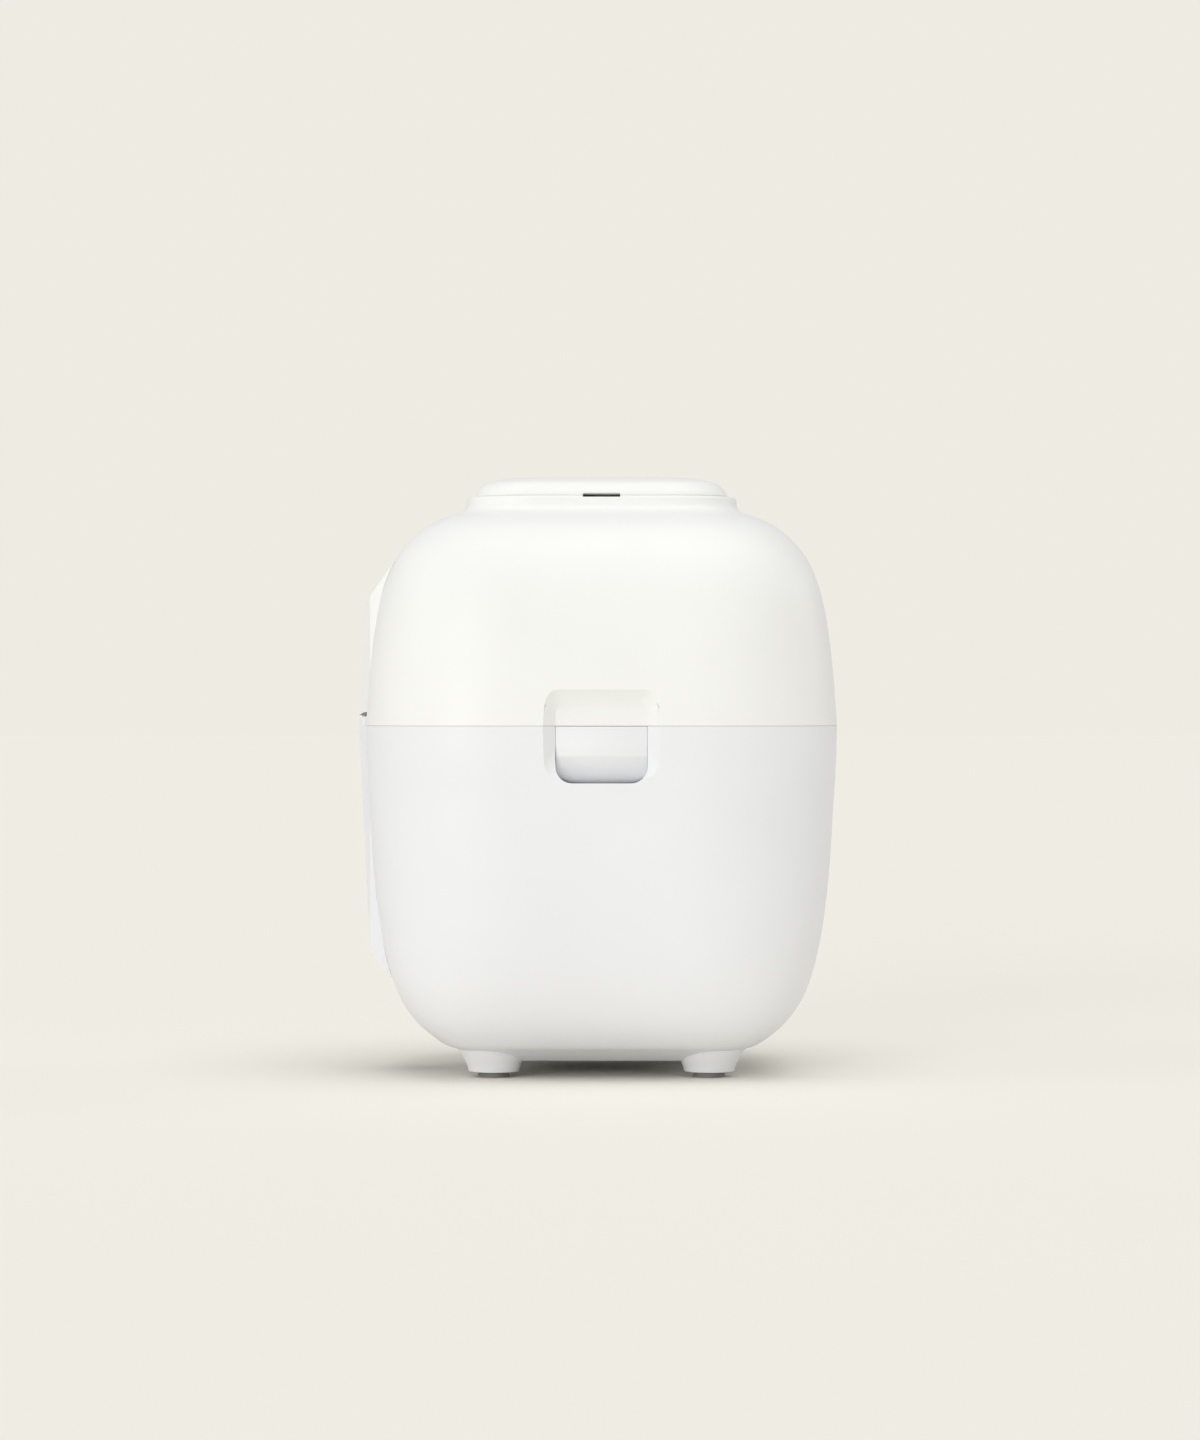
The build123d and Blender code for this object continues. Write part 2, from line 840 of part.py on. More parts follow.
def hinge_bracket():
    low = arm_half + bracket_play
    high = low + bracket_wall
    ear = rod_y(knuckle_r, hinge_x, hinge_z, low, high)
    ear = ear + block((hinge_x - 3.4, hinge_x + 7.4), (low, high), (hinge_z - 12, hinge_z - 1.5))
    plate = block((hinge_x + 5.4, hinge_x + 7.4), (-high, high), (hinge_z - 12, hinge_z - 5))
    bracket = ear + other_side(ear) + plate
    bracket = bracket - block((hinge_x - 5, hinge_x + 0.8), (-30, 30), (hinge_z - 14, hinge_z - 6.3))
    return bracket - rod_y(hinge_pin_r, hinge_x, hinge_z, -30, 30)


def hinge_pin():
    return rod_y(hinge_pin_r, hinge_x, hinge_z, -spine_half + 1.5, spine_half - 1.5)


def lid_arm():
    top = frame_top_z + arm_wall
    arm = rod_y(knuckle_r, hinge_x, hinge_z, -arm_half, arm_half)
    arm = arm + block((-spine_reach, hinge_x + 3), (-arm_half, arm_half), (hinge_z, top))
    arm = arm + block((hinge_x, arm_on_frame - frame_r), (-arm_half, arm_half), (frame_top_z, top))
    return arm - rod_y(hinge_pin_r + run_gap, hinge_x, hinge_z, -30, 30)


# ---------------------------------------------------------------- lid body


def plinth():
    flare_z = dome_z - plinth_flare_height / 2
    post_z = flare_z + plinth_flare_height
    sections = []
    for share in (0.0, 0.25, 0.55, 1.0):
        half = plinth_half + plinth_flare * (1 - share) ** 2.2
        sections.append(squircle(half, plinth_flat_half, flare_z + share * plinth_flare_height))
    foot = loft(sections)
    post = slab(plinth_half, plinth_flat_half, post_z, plinth_z)
    post = fillet(post.edges().group_by(Axis.Z)[-1], plinth_edge)
    root = slab(plinth_half - 3, plinth_flat_half, dome_z - 6, flare_z)
    return foot + post + root


def lid_shell():
    body = lid_outer + plinth()
    backing = lid_recess(wall)
    attic = slab(plinth_half - wall, plinth_flat_half, dome_z - 14, plinth_z - wall)
    cavity = lid_inner + attic - backing - other_side(backing)
    body = body - cavity - lid_recess(0) - other_side(lid_recess(0))
    body = body - disc(cover_well_r, dome_z - 20, plinth_z + 1)
    body = body - rod_y(hinge_clear_r, hinge_x, hinge_z, -spine_half - fit_gap, spine_half + fit_gap)
    steam_way = block(
        (-notch_half, notch_half), (-body_half, body_half), (plinth_z - notch_depth, plinth_z + 1)
    )
    body = body - steam_way
    way = arm_half + fit_gap
    return body - block((hinge_x - 3, hinge_x + 4), (-way, way), (seam_z, hinge_z + 9.2))


def cover_straight(z):
    """The corners soften towards the middle of the steam cover."""
    share = (z - cover_low_z) / (cover_z - cover_low_z)
    return plinth_flat_half - cover_soften * min(1.0, max(0.0, share)) ** 2


def steam_cover():
    points = [
        (cover_half - pull, 0, cover_low_z + share * cover_rise) for share, pull in cover_pull_in
    ]
    outline = Spline(*points, tangents=[(-0.1, 0, 1), (-1, 0, 0.04)])
    cap = wall_loft(outline, 0, cover_straight)
    rim_half = cover_half - cover_wall
    hollow = slab(rim_half, plinth_flat_half - 2, cover_low_z - 1, cover_low_z + 2.2)
    inner_top = cover_z - cover_wall - 1.0
    hollow = hollow + slab(cover_half - 12, plinth_flat_half - 10, cover_low_z, inner_top)
    cap = cap - hollow
    high = cover_low_z + notch_height
    notch = Polyline(
        (-notch_half, 0, cover_low_z - 1),
        (-notch_half, 0, high - notch_corner),
        (-notch_half + notch_corner, 0, high),
        (notch_half - notch_corner, 0, high),
        (notch_half, 0, high - notch_corner),
        (notch_half, 0, cover_low_z - 1),
        close=True,
    )
    cap = cap - extrude(make_face(notch), cover_half + 2, both=True)
    outer = cover_well_r - cover_skirt_play
    inner = outer - cover_skirt_wall
    return cap + ring(outer, inner, cover_low_z - cover_skirt_depth, inner_top + 0.2)


def steam_duct():
    duct = ring(duct_r, duct_r - duct_wall, duct_z, plinth_z - 1.5)
    plate = disc(duct_r, duct_z, duct_z + duct_wall)
    plate = plate - Pos(valve_x, 0, 0) * disc(vent_r + 1.5, 0, dome_z)
    plate = plate - Pos(-valve_x, 0, 0) * disc(6.5, 0, dome_z)
    return duct + plate


def lid_liner():
    liner = slab(body_half - wall - fit_gap, flat_half, liner_z, liner_z + liner_wall)
    liner = liner - disc(gasket_r + 0.6, 0, dome_z)
    well = block(
        (-hook_half - 1.5, hook_half + 1.5),
        (-hook_y - latch_sweep, -hook_y + hook_wall + hook_nose + 0.6),
        (liner_z - 1, liner_z + liner_wall + 1),
    )
    trim = lid_recess(wall + 0.3)
    liner = liner - well - other_side(well) - trim - other_side(trim)
    liner = liner - rod_y(hinge_clear_r, hinge_x, hinge_z, -spine_half - 1, spine_half + 1)
    for screw in four(lug_at, disc(screw_head_r + 0.2, 0, liner_z + 1.4)):
        liner = liner - screw
    return liner - joined(four(lug_at, disc(screw_r + 0.2, 0, dome_z)))


def lid_frame():
    """The steel plate that the hinge arm and both hooks hold."""
    plate = ring(frame_r, frame_hole_r, frame_z, frame_top_z)
    spacer_r = gasket_lip_r - 4.9
    plate = plate + ring(spacer_r, spacer_r - 4, inner_lid_z + inner_lid_wall, frame_z)
    catch_y = -hook_y + hook_wall + hook_play
    catch = block((-hook_half - 2, hook_half + 2), (catch_y, -80), (frame_z, frame_top_z))
    lugs = joined(four(lug_at, disc(lug_r, frame_z, frame_top_z)))
    spokes = [
        Rot(0, 0, turn) * block((80, lug_at * 1.4), (-5, 5), (frame_z, frame_top_z))
        for turn in (45, 135, 225, 315)
    ]
    plate = plate + catch + other_side(catch) + lugs + joined(spokes)
    return plate - joined(four(lug_at, disc(screw_r, 0, dome_z)))


def liner_screws():
    low = liner_z + 0.2
    screw = disc(screw_head_r, low, liner_z + 1.4) + disc(screw_r, low, frame_top_z + 1)
    return joined(four(lug_at, screw))


def inner_lid():
    plate = disc(gasket_r, inner_lid_z, inner_lid_z + inner_lid_wall)
    low = inner_lid_z
    high = inner_lid_top_z
    skin = inner_lid_wall
    dome = turned([(0, high), (44, high), (54, low), (58, low), (58, low + skin), (54.5, low + skin),
                   (44.5, high + skin), (0, high + skin)])
    plate = plate - disc(56, 0, dome_z) + dome
    plate = plate - Pos(valve_x, 0, 0) * disc(vent_r, 0, dome_z)
    return plate - Pos(-valve_x, 0, 0) * disc(bush_r, 0, dome_z)


def gasket():
    """The silicone ring: a flat seat above the pot's rim and a lip inside the pot."""
    low = inner_lid_z - 1.4
    seat = ring(gasket_r, pot_r - 0.5, gasket_z, inner_lid_z)
    lip_in = gasket_lip_r - gasket_lip_wall
    lip = ring(gasket_lip_r, lip_in, gasket_z - gasket_lip_depth, inner_lid_z)
    return seat + lip + ring(pot_r, lip_in, low, inner_lid_z)


def vent_tube():
    high = inner_lid_top_z
    tube = disc(vent_r, high - 4, vent_top_z - 5)
    tip = Pos(0, 0, vent_top_z - 2.5) * Cone(vent_r, 2.4, 5)
    nut = Plane.XY.offset(high + inner_lid_wall) * RegularPolygon(8, 6)
    collar = disc(7.0, high - 2.4, high)
    tube = tube + tip + extrude(nut, 4) + collar
    return Pos(valve_x, 0, 0) * (tube - disc(vent_bore_r, 0, dome_z))


def vent_screen():
    high = inner_lid_top_z - 2.4
    cup = disc(8.0, high - 7, high) - disc(7.0, high - 5.8, high + 1)
    for turn in range(0, 180, 30):
        cup = cup - Rot(0, 0, turn) * block((-9, 9), (-0.8, 0.8), (high - 5.8, high - 1.5))
    cup = cup + ring(7.6, vent_r, high - 1.2, high)
    return Pos(valve_x, 0, 0) * cup


def pressure_weight():
    low = vent_top_z - 8
    body = disc(weight_r, low, weight_top_z) - disc(weight_r - 3, low - 1, vent_top_z + 0.3)
    body = fillet(body.edges().group_by(Axis.Z)[-1], 2.0)
    return Pos(valve_x, 0, 0) * body


def float_bush():
    high = inner_lid_top_z
    bush = disc(bush_r, high - 2, high + 4) + disc(bush_r + 1.5, high + inner_lid_wall, high + 2.6)
    bush = bush + disc(bush_r + 1.5, high - 2, high)
    return Pos(-valve_x, 0, 0) * (bush - disc(float_r + 0.15, 0, dome_z))


def float_pin():
    high = inner_lid_top_z + 4.3
    low = inner_lid_top_z - 2.3 - float_travel - 1.0
    pin = disc(float_r, low, high) + disc(4.4, high, high + 1.5) + disc(4.4, low - 2, low)
    return Pos(-valve_x, 0, 0) * pin


def float_seal():
    low = inner_lid_top_z - 2.3 - float_travel - 1.0
    return Pos(-valve_x, 0, 0) * ring(4.0, float_r, low, low + 1.0)


parts = {
    "base_shell": base_shell(),
    "bottom_cover": bottom_cover(),
    "cover_screws": cover_screws(),
    "base_deck": base_deck(),
    "heat_shield": heat_shield(),
    "heating_plate": heating_plate(),
    "heater_pins": heater_pins(),
    "inner_pot": inner_pot(),
    "pot_sensor": pot_sensor(),
    "sensor_spring": sensor_spring(),
    "thermal_fuse": thermal_fuse(),
    "power_board": power_board(),
    "board_parts": board_parts(),
    "inlet_socket": inlet_socket(),
    "inlet_blades": inlet_blades(),
    "control_panel": control_panel(),
    "display_window": display_window(),
    "control_board": control_board(),
    "spine_lower": spine_lower(),
    "spine_upper": spine_upper(),
    "hinge_bracket": hinge_bracket(),
    "hinge_pin": hinge_pin(),
    "lid_arm": lid_arm(),
    "lid_shell": lid_shell(),
    "lid_liner": lid_liner(),
    "lid_frame": lid_frame(),
    "liner_screws": liner_screws(),
    "inner_lid": inner_lid(),
    "gasket": gasket(),
    "steam_cover": steam_cover(),
    "steam_duct": steam_duct(),
    "vent_tube": vent_tube(),
    "vent_screen": vent_screen(),
    "pressure_weight": pressure_weight(),
    "float_bush": float_bush(),
    "float_pin": float_pin(),
    "float_seal": float_seal(),
}

corner_names = ("rear_left", "rear_right", "front_left", "front_right")
for name, pad in zip(corner_names, four(leg_at, foot_pad())):
    parts["foot_pad_" + name] = pad

for number, y in enumerate(key_places(), 1):
    parts["key_" + str(number)] = key(y)

for name, piece in (
    ("latch_button", latch_button()),
    ("latch_hook", latch_hook()),
    ("latch_pin", latch_pin()),
    ("latch_spring", latch_spring()),
):
    parts[name + "_left"] = piece
    parts[name + "_right"] = other_side(piece)

os.makedirs("parts", exist_ok=True)
for name, piece in parts.items():
    export_step(Pos(axis_x, 0, 0) * piece, "parts/" + name + ".step")
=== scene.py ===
import json
import math

import bpy
from bpy.props import FloatProperty, FloatVectorProperty, PointerProperty
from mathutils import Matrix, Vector

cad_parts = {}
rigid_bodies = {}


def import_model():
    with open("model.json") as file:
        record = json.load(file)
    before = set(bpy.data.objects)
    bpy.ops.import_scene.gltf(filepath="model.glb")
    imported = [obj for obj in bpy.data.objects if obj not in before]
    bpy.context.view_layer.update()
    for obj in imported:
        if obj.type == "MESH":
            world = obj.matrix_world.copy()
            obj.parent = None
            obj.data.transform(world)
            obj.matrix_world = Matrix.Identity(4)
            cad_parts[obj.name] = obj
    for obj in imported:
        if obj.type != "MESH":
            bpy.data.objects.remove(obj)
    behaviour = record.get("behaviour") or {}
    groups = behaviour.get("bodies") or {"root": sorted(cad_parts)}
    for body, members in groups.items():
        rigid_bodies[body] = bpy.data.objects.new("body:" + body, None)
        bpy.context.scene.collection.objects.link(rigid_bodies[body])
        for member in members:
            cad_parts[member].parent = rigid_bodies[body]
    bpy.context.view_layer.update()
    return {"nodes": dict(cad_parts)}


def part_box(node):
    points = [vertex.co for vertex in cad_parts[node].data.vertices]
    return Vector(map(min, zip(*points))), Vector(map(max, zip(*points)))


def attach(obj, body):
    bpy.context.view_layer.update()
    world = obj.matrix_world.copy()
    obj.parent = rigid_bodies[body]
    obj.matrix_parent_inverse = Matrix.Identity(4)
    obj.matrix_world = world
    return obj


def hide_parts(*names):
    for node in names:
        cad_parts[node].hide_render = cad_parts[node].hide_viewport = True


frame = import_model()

bl_info = {
    "name": "Pressure cooker finish",
    "version": (1, 0, 0),
    "blender": (4, 5, 0),
    "location": "View3D > Sidebar > Cooker",
    "description": "Gives the packed pressure cooker its mouldings, finishes and studio",
    "category": "Object",
}

mm = 0.001
nodes = frame["nodes"]


def node_middle(name):
    low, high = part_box(name)
    return (low + high) / 2


pot_axis_x = node_middle("inner_pot").x


# ------------------------------------------------------------------ sizes

skin = 2.4 * mm  # wall of the base and the lid
skin_edge = 0.14 * mm
smooth_angle = 34  # degrees
weld = 0.004 * mm
slack = 0.1 * mm  # how near to a place a face still counts as in it
flat_normal = 0.04

body_half = 108.0 * mm
body_corner = 70.0 * mm
corner_steps = 20
corner_profile = 0.575
belly_z = 7.5 * mm
seam_z = 160.5 * mm
seam_gap = 0.10 * mm
dome_z = 259.3 * mm
# How far the corners keep their shape while the side draws in, and between which heights
base_keep = (0.24, 46 * mm, 34 * mm)
lid_keep = (0.7, 205 * mm, 225 * mm)

# Outlines: how far the side draws in, in millimetres, and its share of the height
base_outline = [
    (0.0, 1.0), (0.4, 0.9), (1.6, 0.768), (3.8, 0.552), (7.5, 0.363), (13.4, 0.219),
    (21.9, 0.123), (34.0, 0.054), (41.6, 0.0333), (48.0, 0.016), (54.0, 0.0)]
lid_outline = [
    (0.0, 0.0), (1.4, 0.20), (3.2, 0.38), (5.7, 0.541), (9.5, 0.683), (15.6, 0.805),
    (25.1, 0.905), (34.0, 0.957), (41.0, 0.984)]
plinth_outline = [
    (42.6, 0.990), (43.9, 0.9985), (44.9, 1.010), (45.5, 1.025), (45.6, 1.045), (45.65, 1.051),
    (46.0, 1.0572), (46.6, 1.0607)]
cover_outline = [
    (0.0, 0.05), (0.25, 0.15), (0.8, 0.26), (2.3, 0.47), (4.8, 0.68), (11.0, 0.87), (18.0, 0.952),
    (30.0, 0.991), (46.0, 1.0)]

# Legs: radius and height of each ring, in millimetres, from the root down and into the pad's seat
leg_at = 49.3 * mm
leg_sides = 40
leg_rings = [
    (21.5, 24.0), (21.5, 19.4), (18.8, 16.0), (16.6, 13.0), (14.9, 10.4), (13.6, 8.1),
    (12.6, 6.2), (12.0, 4.6), (11.7, 3.5), (11.6, 3.0), (11.45, 2.68), (11.1, 2.5), (7.35, 2.5),
    (7.35, 3.5)]

# Finger recess and latch button
recess_y = 103.0 * mm
recess_depth = 5.0 * mm
recess_half = 20.5 * mm
recess_ramp = 5.6 * mm
recess_low_z = 147.0 * mm
recess_high_z = 168.6 * mm
recess_corner = 4.2 * mm
recess_ceiling = 9.2 * mm
recess_fade = 12.1 * mm
recess_steps = (0.03, 0.09, 0.18, 0.3, 0.45, 0.6, 0.75, 0.88, 1.0, 1.6)
button_low_z = 134.9 * mm
button_way_corner = 7.4 * mm
button_way_y = (-112 * mm, -97 * mm)
button_way_high_z = 175.0 * mm
button_gap = 0.05 * mm
button_corner = 7.8 * mm
button_top_z = 160.38 * mm
button_bend_z = 147.6 * mm
button_bend_r = 3.0 * mm
button_bend_steps = 4
button_tilt = math.radians(32)
button_wall = 2.6 * mm
button_edge = 0.3 * mm
lug_at = 18.1 * mm
lug_half = 2.0 * mm
lug_edge = 1.2 * mm
lug_y = (-100.6 * mm, -91.6 * mm)
lug_z = (146.5 * mm, 153.5 * mm)

# Openings in the base
bottom_hole_r = 50.0 * mm
bottom_hole_z = (-16 * mm, 12 * mm)
panel_low, panel_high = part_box("control_panel")
panel_half = 30.0 * mm
panel_corner = 8.0 * mm
panel_start = 4.0 * mm  # outside the panel's face
panel_depth = 20.0 * mm
panel_end = panel_high.x + panel_start - panel_depth
inlet_x = (-120 * mm, -66 * mm)
inlet_y = (-15 * mm, 15 * mm)
inlet_z = (14.5 * mm, 36.5 * mm)
bracket_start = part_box("hinge_bracket")[0].x
bracket_y = (-14.6 * mm, 14.6 * mm)
bracket_z = (146.5 * mm, 170 * mm)
bracket_depth = 11.8 * mm

# Openings in the lid and the steam cover
well_r = 39.5 * mm
well_z = (250 * mm, 280 * mm)
notch_half = 8.5 * mm
notch_x = (pot_axis_x - notch_half, pot_axis_x + notch_half)
notch_edge = 0.6 * mm
notch_y = (-70 * mm, 70 * mm)
notch_low_z = 264.6 * mm
notch_rise = 1.1 * mm
hinge_x = pot_axis_x - 108.1 * mm
hinge_clear_r = 6.2 * mm
hinge_clear_width = 60.8 * mm
arm_y = (-10.2 * mm, 10.2 * mm)
arm_rise = 9.2 * mm

cover_half = 58.0 * mm
cover_corner = 27.0 * mm
cover_z = (265.46 * mm, 275.0 * mm)
cover_foot = [(0.35, 0.0), (0.1, 0.2)]  # how far drawn in and how high, in millimetres
cover_wall = 2.0 * mm
skirt_r = 38.9 * mm
skirt_wall = 1.6 * mm
skirt_middle_z = 265.7 * mm
skirt_height = 14.0 * mm

spine_edge = 2.6 * mm
spine_edge_steps = 4

camera_shift = -0.7 * mm  # from the pot's axis


# ------------------------------------------------------------------ colours and stage


class CookerColours(bpy.types.PropertyGroup):
    lid: FloatVectorProperty(
        name="Lid", description="Warm white of the lid, the plinth and the steam cover",
        default=(0.862, 0.866, 0.848), subtype="COLOR", size=3, min=0, max=1)
    base: FloatVectorProperty(
        name="Base", description="Cool white of the body, the latches and the feet",
        default=(0.820, 0.829, 0.848), subtype="COLOR", size=3, min=0, max=1)
    trim: FloatVectorProperty(
        name="Inner mouldings", description="Grey of the liner, the deck and the duct",
        default=(0.30, 0.305, 0.31), subtype="COLOR", size=3, min=0, max=1)
    rubber: FloatVectorProperty(
        name="Foot pads", description="Grey of the rubber foot pads",
        default=(0.22, 0.22, 0.21), subtype="COLOR", size=3, min=0, max=1)
    panel: FloatVectorProperty(
        name="Control panel", description="Light grey of the control panel and its keys",
        default=(0.62, 0.625, 0.63), subtype="COLOR", size=3, min=0, max=1)


class CookerStage(bpy.types.PropertyGroup):
    distance: FloatProperty(
        name="Camera distance", description="From the lens to the cooker's axis",
        default=2.062, unit="LENGTH", subtype="DISTANCE")
    eye_height: FloatProperty(
        name="Camera height", description="Height of the lens above the floor",
        default=0.1665, unit="LENGTH", subtype="DISTANCE")
    aim_height: FloatProperty(
        name="Aim height", description="Height of the point that the camera looks at",
        default=0.163, unit="LENGTH", subtype="DISTANCE")
    lens: FloatProperty(
        name="Lens", description="Focal length on a 36 mm sensor",
        default=110.0, unit="CAMERA")
    floor: FloatVectorProperty(
        name="Floor", description="Pale colour of the floor",
        default=(0.914, 0.888, 0.821), subtype="COLOR", size=3, min=0, max=1)
    sky: FloatProperty(
        name="Sky light", description="Strength of the even light all round",
        default=0.58, min=0)
    top: FloatProperty(
        name="Top light", description="Strength of the soft light from overhead",
        default=0.92, min=0)
    front: FloatProperty(
        name="Front light", description="Strength of the low soft light from the front left",
        default=1.32, min=0)
    side: FloatProperty(
        name="Side light", description="Strength of the soft light from the left",
        default=0.24, min=0)
    rim: FloatProperty(
        name="Rim light", description="Strength of the soft light from behind on the right",
        default=0.22, min=0)
    backdrop: FloatVectorProperty(
        name="Backdrop", description="Pale colour of the room's light",
        default=(0.855, 0.831, 0.768), subtype="COLOR", size=3, min=0, max=1)


# ------------------------------------------------------------------ material building


def new_finish(name):
    """A new material with its shader and the cooker's own coordinates, centred on the pot's axis."""
    material = bpy.data.materials.new(name)
    material.use_nodes = True
    tree = material.node_tree
    shader = tree.nodes["Principled BSDF"]
    place = tree.nodes.new("ShaderNodeTexCoord")
    centre = tree.nodes.new("ShaderNodeMapping")
    centre.inputs["Location"].default_value = (-pot_axis_x, 0, 0)
    tree.links.new(place.outputs["Object"], centre.inputs["Vector"])
    return material, tree, shader, centre.outputs["Vector"]


def noise(tree, vector, scale, detail=4.0, roughness=0.5):
    node = tree.nodes.new("ShaderNodeTexNoise")
    node.inputs["Scale"].default_value = scale
    node.inputs["Detail"].default_value = detail
    node.inputs["Roughness"].default_value = roughness
    tree.links.new(vector, node.inputs["Vector"])
    return node.outputs["Fac"]


def ranged(tree, value, low, high, start=0.0, end=1.0):
    node = tree.nodes.new("ShaderNodeMapRange")
    node.inputs["From Min"].default_value = start
    node.inputs["From Max"].default_value = end
    node.inputs["To Min"].default_value = low
    node.inputs["To Max"].default_value = high
    tree.links.new(value, node.inputs["Value"])
    return node.outputs["Result"]


def tinted(tree, value, dark, light, start=0.35, end=0.65):
    node = tree.nodes.new("ShaderNodeValToRGB")
    node.color_ramp.elements[0].position = start
    node.color_ramp.elements[0].color = (*dark, 1)
    node.color_ramp.elements[1].position = end
    node.color_ramp.elements[1].color = (*light, 1)
    tree.links.new(value, node.inputs["Fac"])
    return node.outputs["Color"]


def stretched(tree, vector, scale, turn=(0, 0, 0)):
    node = tree.nodes.new("ShaderNodeMapping")
    node.inputs["Scale"].default_value = scale
    node.inputs["Rotation"].default_value = turn
    tree.links.new(vector, node.inputs["Vector"])
    return node.outputs["Vector"]


def bumped(tree, shader, heights):
    """Lays bumps over each other: heights is a list of (value, strength, distance in metres)."""
    normal = None
    for value, strength, distance in heights:
        node = tree.nodes.new("ShaderNodeBump")
        node.inputs["Strength"].default_value = strength
        node.inputs["Distance"].default_value = distance
        tree.links.new(value, node.inputs["Height"])
        if normal:
            tree.links.new(normal, node.inputs["Normal"])
        normal = node.outputs["Normal"]
    tree.links.new(normal, shader.inputs["Normal"])


def shade(colour, amount):
    return tuple(min(1.0, channel * amount) for channel in colour)


def moulded_plastic(name, colour, rough, grain=0.12, coat=0.0):
    """Injection-moulded plastic: a spark-eroded grain, slow flow marks and faint handling wear."""
    material, tree, shader, at = new_finish(name)
    cloud = noise(tree, at, 14.0, 3.0)
    tree.links.new(tinted(tree, cloud, shade(colour, 0.985), shade(colour, 1.01)),
                   shader.inputs["Base Color"])
    wear = noise(tree, at, 60.0, 5.0)
    tree.links.new(ranged(tree, wear, rough - 0.05, rough + 0.05, 0.3, 0.7),
                   shader.inputs["Roughness"])
    fine = noise(tree, at, 2600.0, 2.0)
    flow = noise(tree, stretched(tree, at, (1, 1, 0.35)), 22.0, 2.0)
    bumped(tree, shader, [(flow, 0.25, 0.0004), (fine, grain, 0.00003)])
    shader.inputs["IOR"].default_value = 1.49
    shader.inputs["Coat Weight"].default_value = coat
    shader.inputs["Coat Roughness"].default_value = 0.2
    return material


def pressed_rubber(name, colour, rough=0.75):
    material, tree, shader, at = new_finish(name)
    dust = noise(tree, at, 220.0, 5.0)
    tree.links.new(tinted(tree, dust, shade(colour, 0.86), shade(colour, 1.12)),
                   shader.inputs["Base Color"])
    tree.links.new(ranged(tree, dust, rough - 0.08, rough + 0.1), shader.inputs["Roughness"])
    bumped(tree, shader, [(noise(tree, at, 1800.0, 3.0), 0.3, 0.00005)])
    return material


def cast_silicone(name, colour):
    """Milky silicone with a slightly waxy surface."""
    material, tree, shader, at = new_finish(name)
    milk = noise(tree, at, 90.0, 3.0)
    tree.links.new(tinted(tree, milk, shade(colour, 0.94), shade(colour, 1.04)),
                   shader.inputs["Base Color"])
    tree.links.new(ranged(tree, milk, 0.36, 0.5), shader.inputs["Roughness"])
    shader.inputs["Subsurface Weight"].default_value = 0.25
    shader.inputs["Subsurface Radius"].default_value = (0.004, 0.004, 0.005)
    bumped(tree, shader, [(noise(tree, at, 900.0, 2.0), 0.15, 0.00003)])
    return material


def brushed_metal(name, colour, rough, along=(1, 60, 60), turn=(0, 0, 0)):
    """Metal with fine parallel brush lines."""
    material, tree, shader, at = new_finish(name)
    lines = noise(tree, stretched(tree, at, along, turn), 60.0, 6.0, 0.65)
    tree.links.new(tinted(tree, lines, shade(colour, 0.9), shade(colour, 1.06)),
                   shader.inputs["Base Color"])
    tree.links.new(ranged(tree, lines, rough - 0.07, rough + 0.1, 0.3, 0.7),
                   shader.inputs["Roughness"])
    shader.inputs["Metallic"].default_value = 1.0
    bumped(tree, shader, [(lines, 0.2, 0.00004)])
    return material


def spun_metal(name, colour, rough, pitch):
    """Sheet metal turned on a lathe: rings about the pot's axis."""
    material, tree, shader, at = new_finish(name)
    rings = tree.nodes.new("ShaderNodeTexWave")
    rings.wave_type = "RINGS"
    rings.rings_direction = "Z"
    rings.inputs["Scale"].default_value = pitch
    rings.inputs["Distortion"].default_value = 0.4
    rings.inputs["Detail"].default_value = 2.0
    tree.links.new(at, rings.inputs["Vector"])
    cloud = noise(tree, at, 35.0, 4.0)
    tree.links.new(tinted(tree, cloud, shade(colour, 0.92), shade(colour, 1.05)),
                   shader.inputs["Base Color"])
    tree.links.new(ranged(tree, cloud, rough - 0.05, rough + 0.08), shader.inputs["Roughness"])
    shader.inputs["Metallic"].default_value = 1.0
    bumped(tree, shader, [(rings.outputs["Fac"], 0.25, 0.00003), (cloud, 0.1, 0.0002)])
    return material


def non_stick(name, colour):
    """Sprayed non-stick coating with fine pale flecks."""
    material, tree, shader, at = new_finish(name)
    cells = tree.nodes.new("ShaderNodeTexVoronoi")
    cells.inputs["Scale"].default_value = 900.0
    tree.links.new(at, cells.inputs["Vector"])
    fleck = tinted(tree, cells.outputs["Distance"], (0.34, 0.33, 0.32), colour, 0.10, 0.16)
    tree.links.new(fleck, shader.inputs["Base Color"])
    haze = noise(tree, at, 70.0, 4.0)
    tree.links.new(ranged(tree, haze, 0.34, 0.48), shader.inputs["Roughness"])
    bumped(tree, shader, [(noise(tree, at, 700.0, 3.0), 0.2, 0.00005)])
    return material


def smoked_window(name, colour):
    material, tree, shader, at = new_finish(name)
    haze = noise(tree, at, 120.0, 5.0)
    tree.links.new(tinted(tree, haze, colour, shade(colour, 1.6)), shader.inputs["Base Color"])
    tree.links.new(ranged(tree, haze, 0.06, 0.16, 0.3, 0.7), shader.inputs["Roughness"])
    shader.inputs["Coat Weight"].default_value = 0.6
    shader.inputs["Coat Roughness"].default_value = 0.05
    bumped(tree, shader, [(noise(tree, at, 8.0, 1.0), 0.1, 0.0003)])
    return material


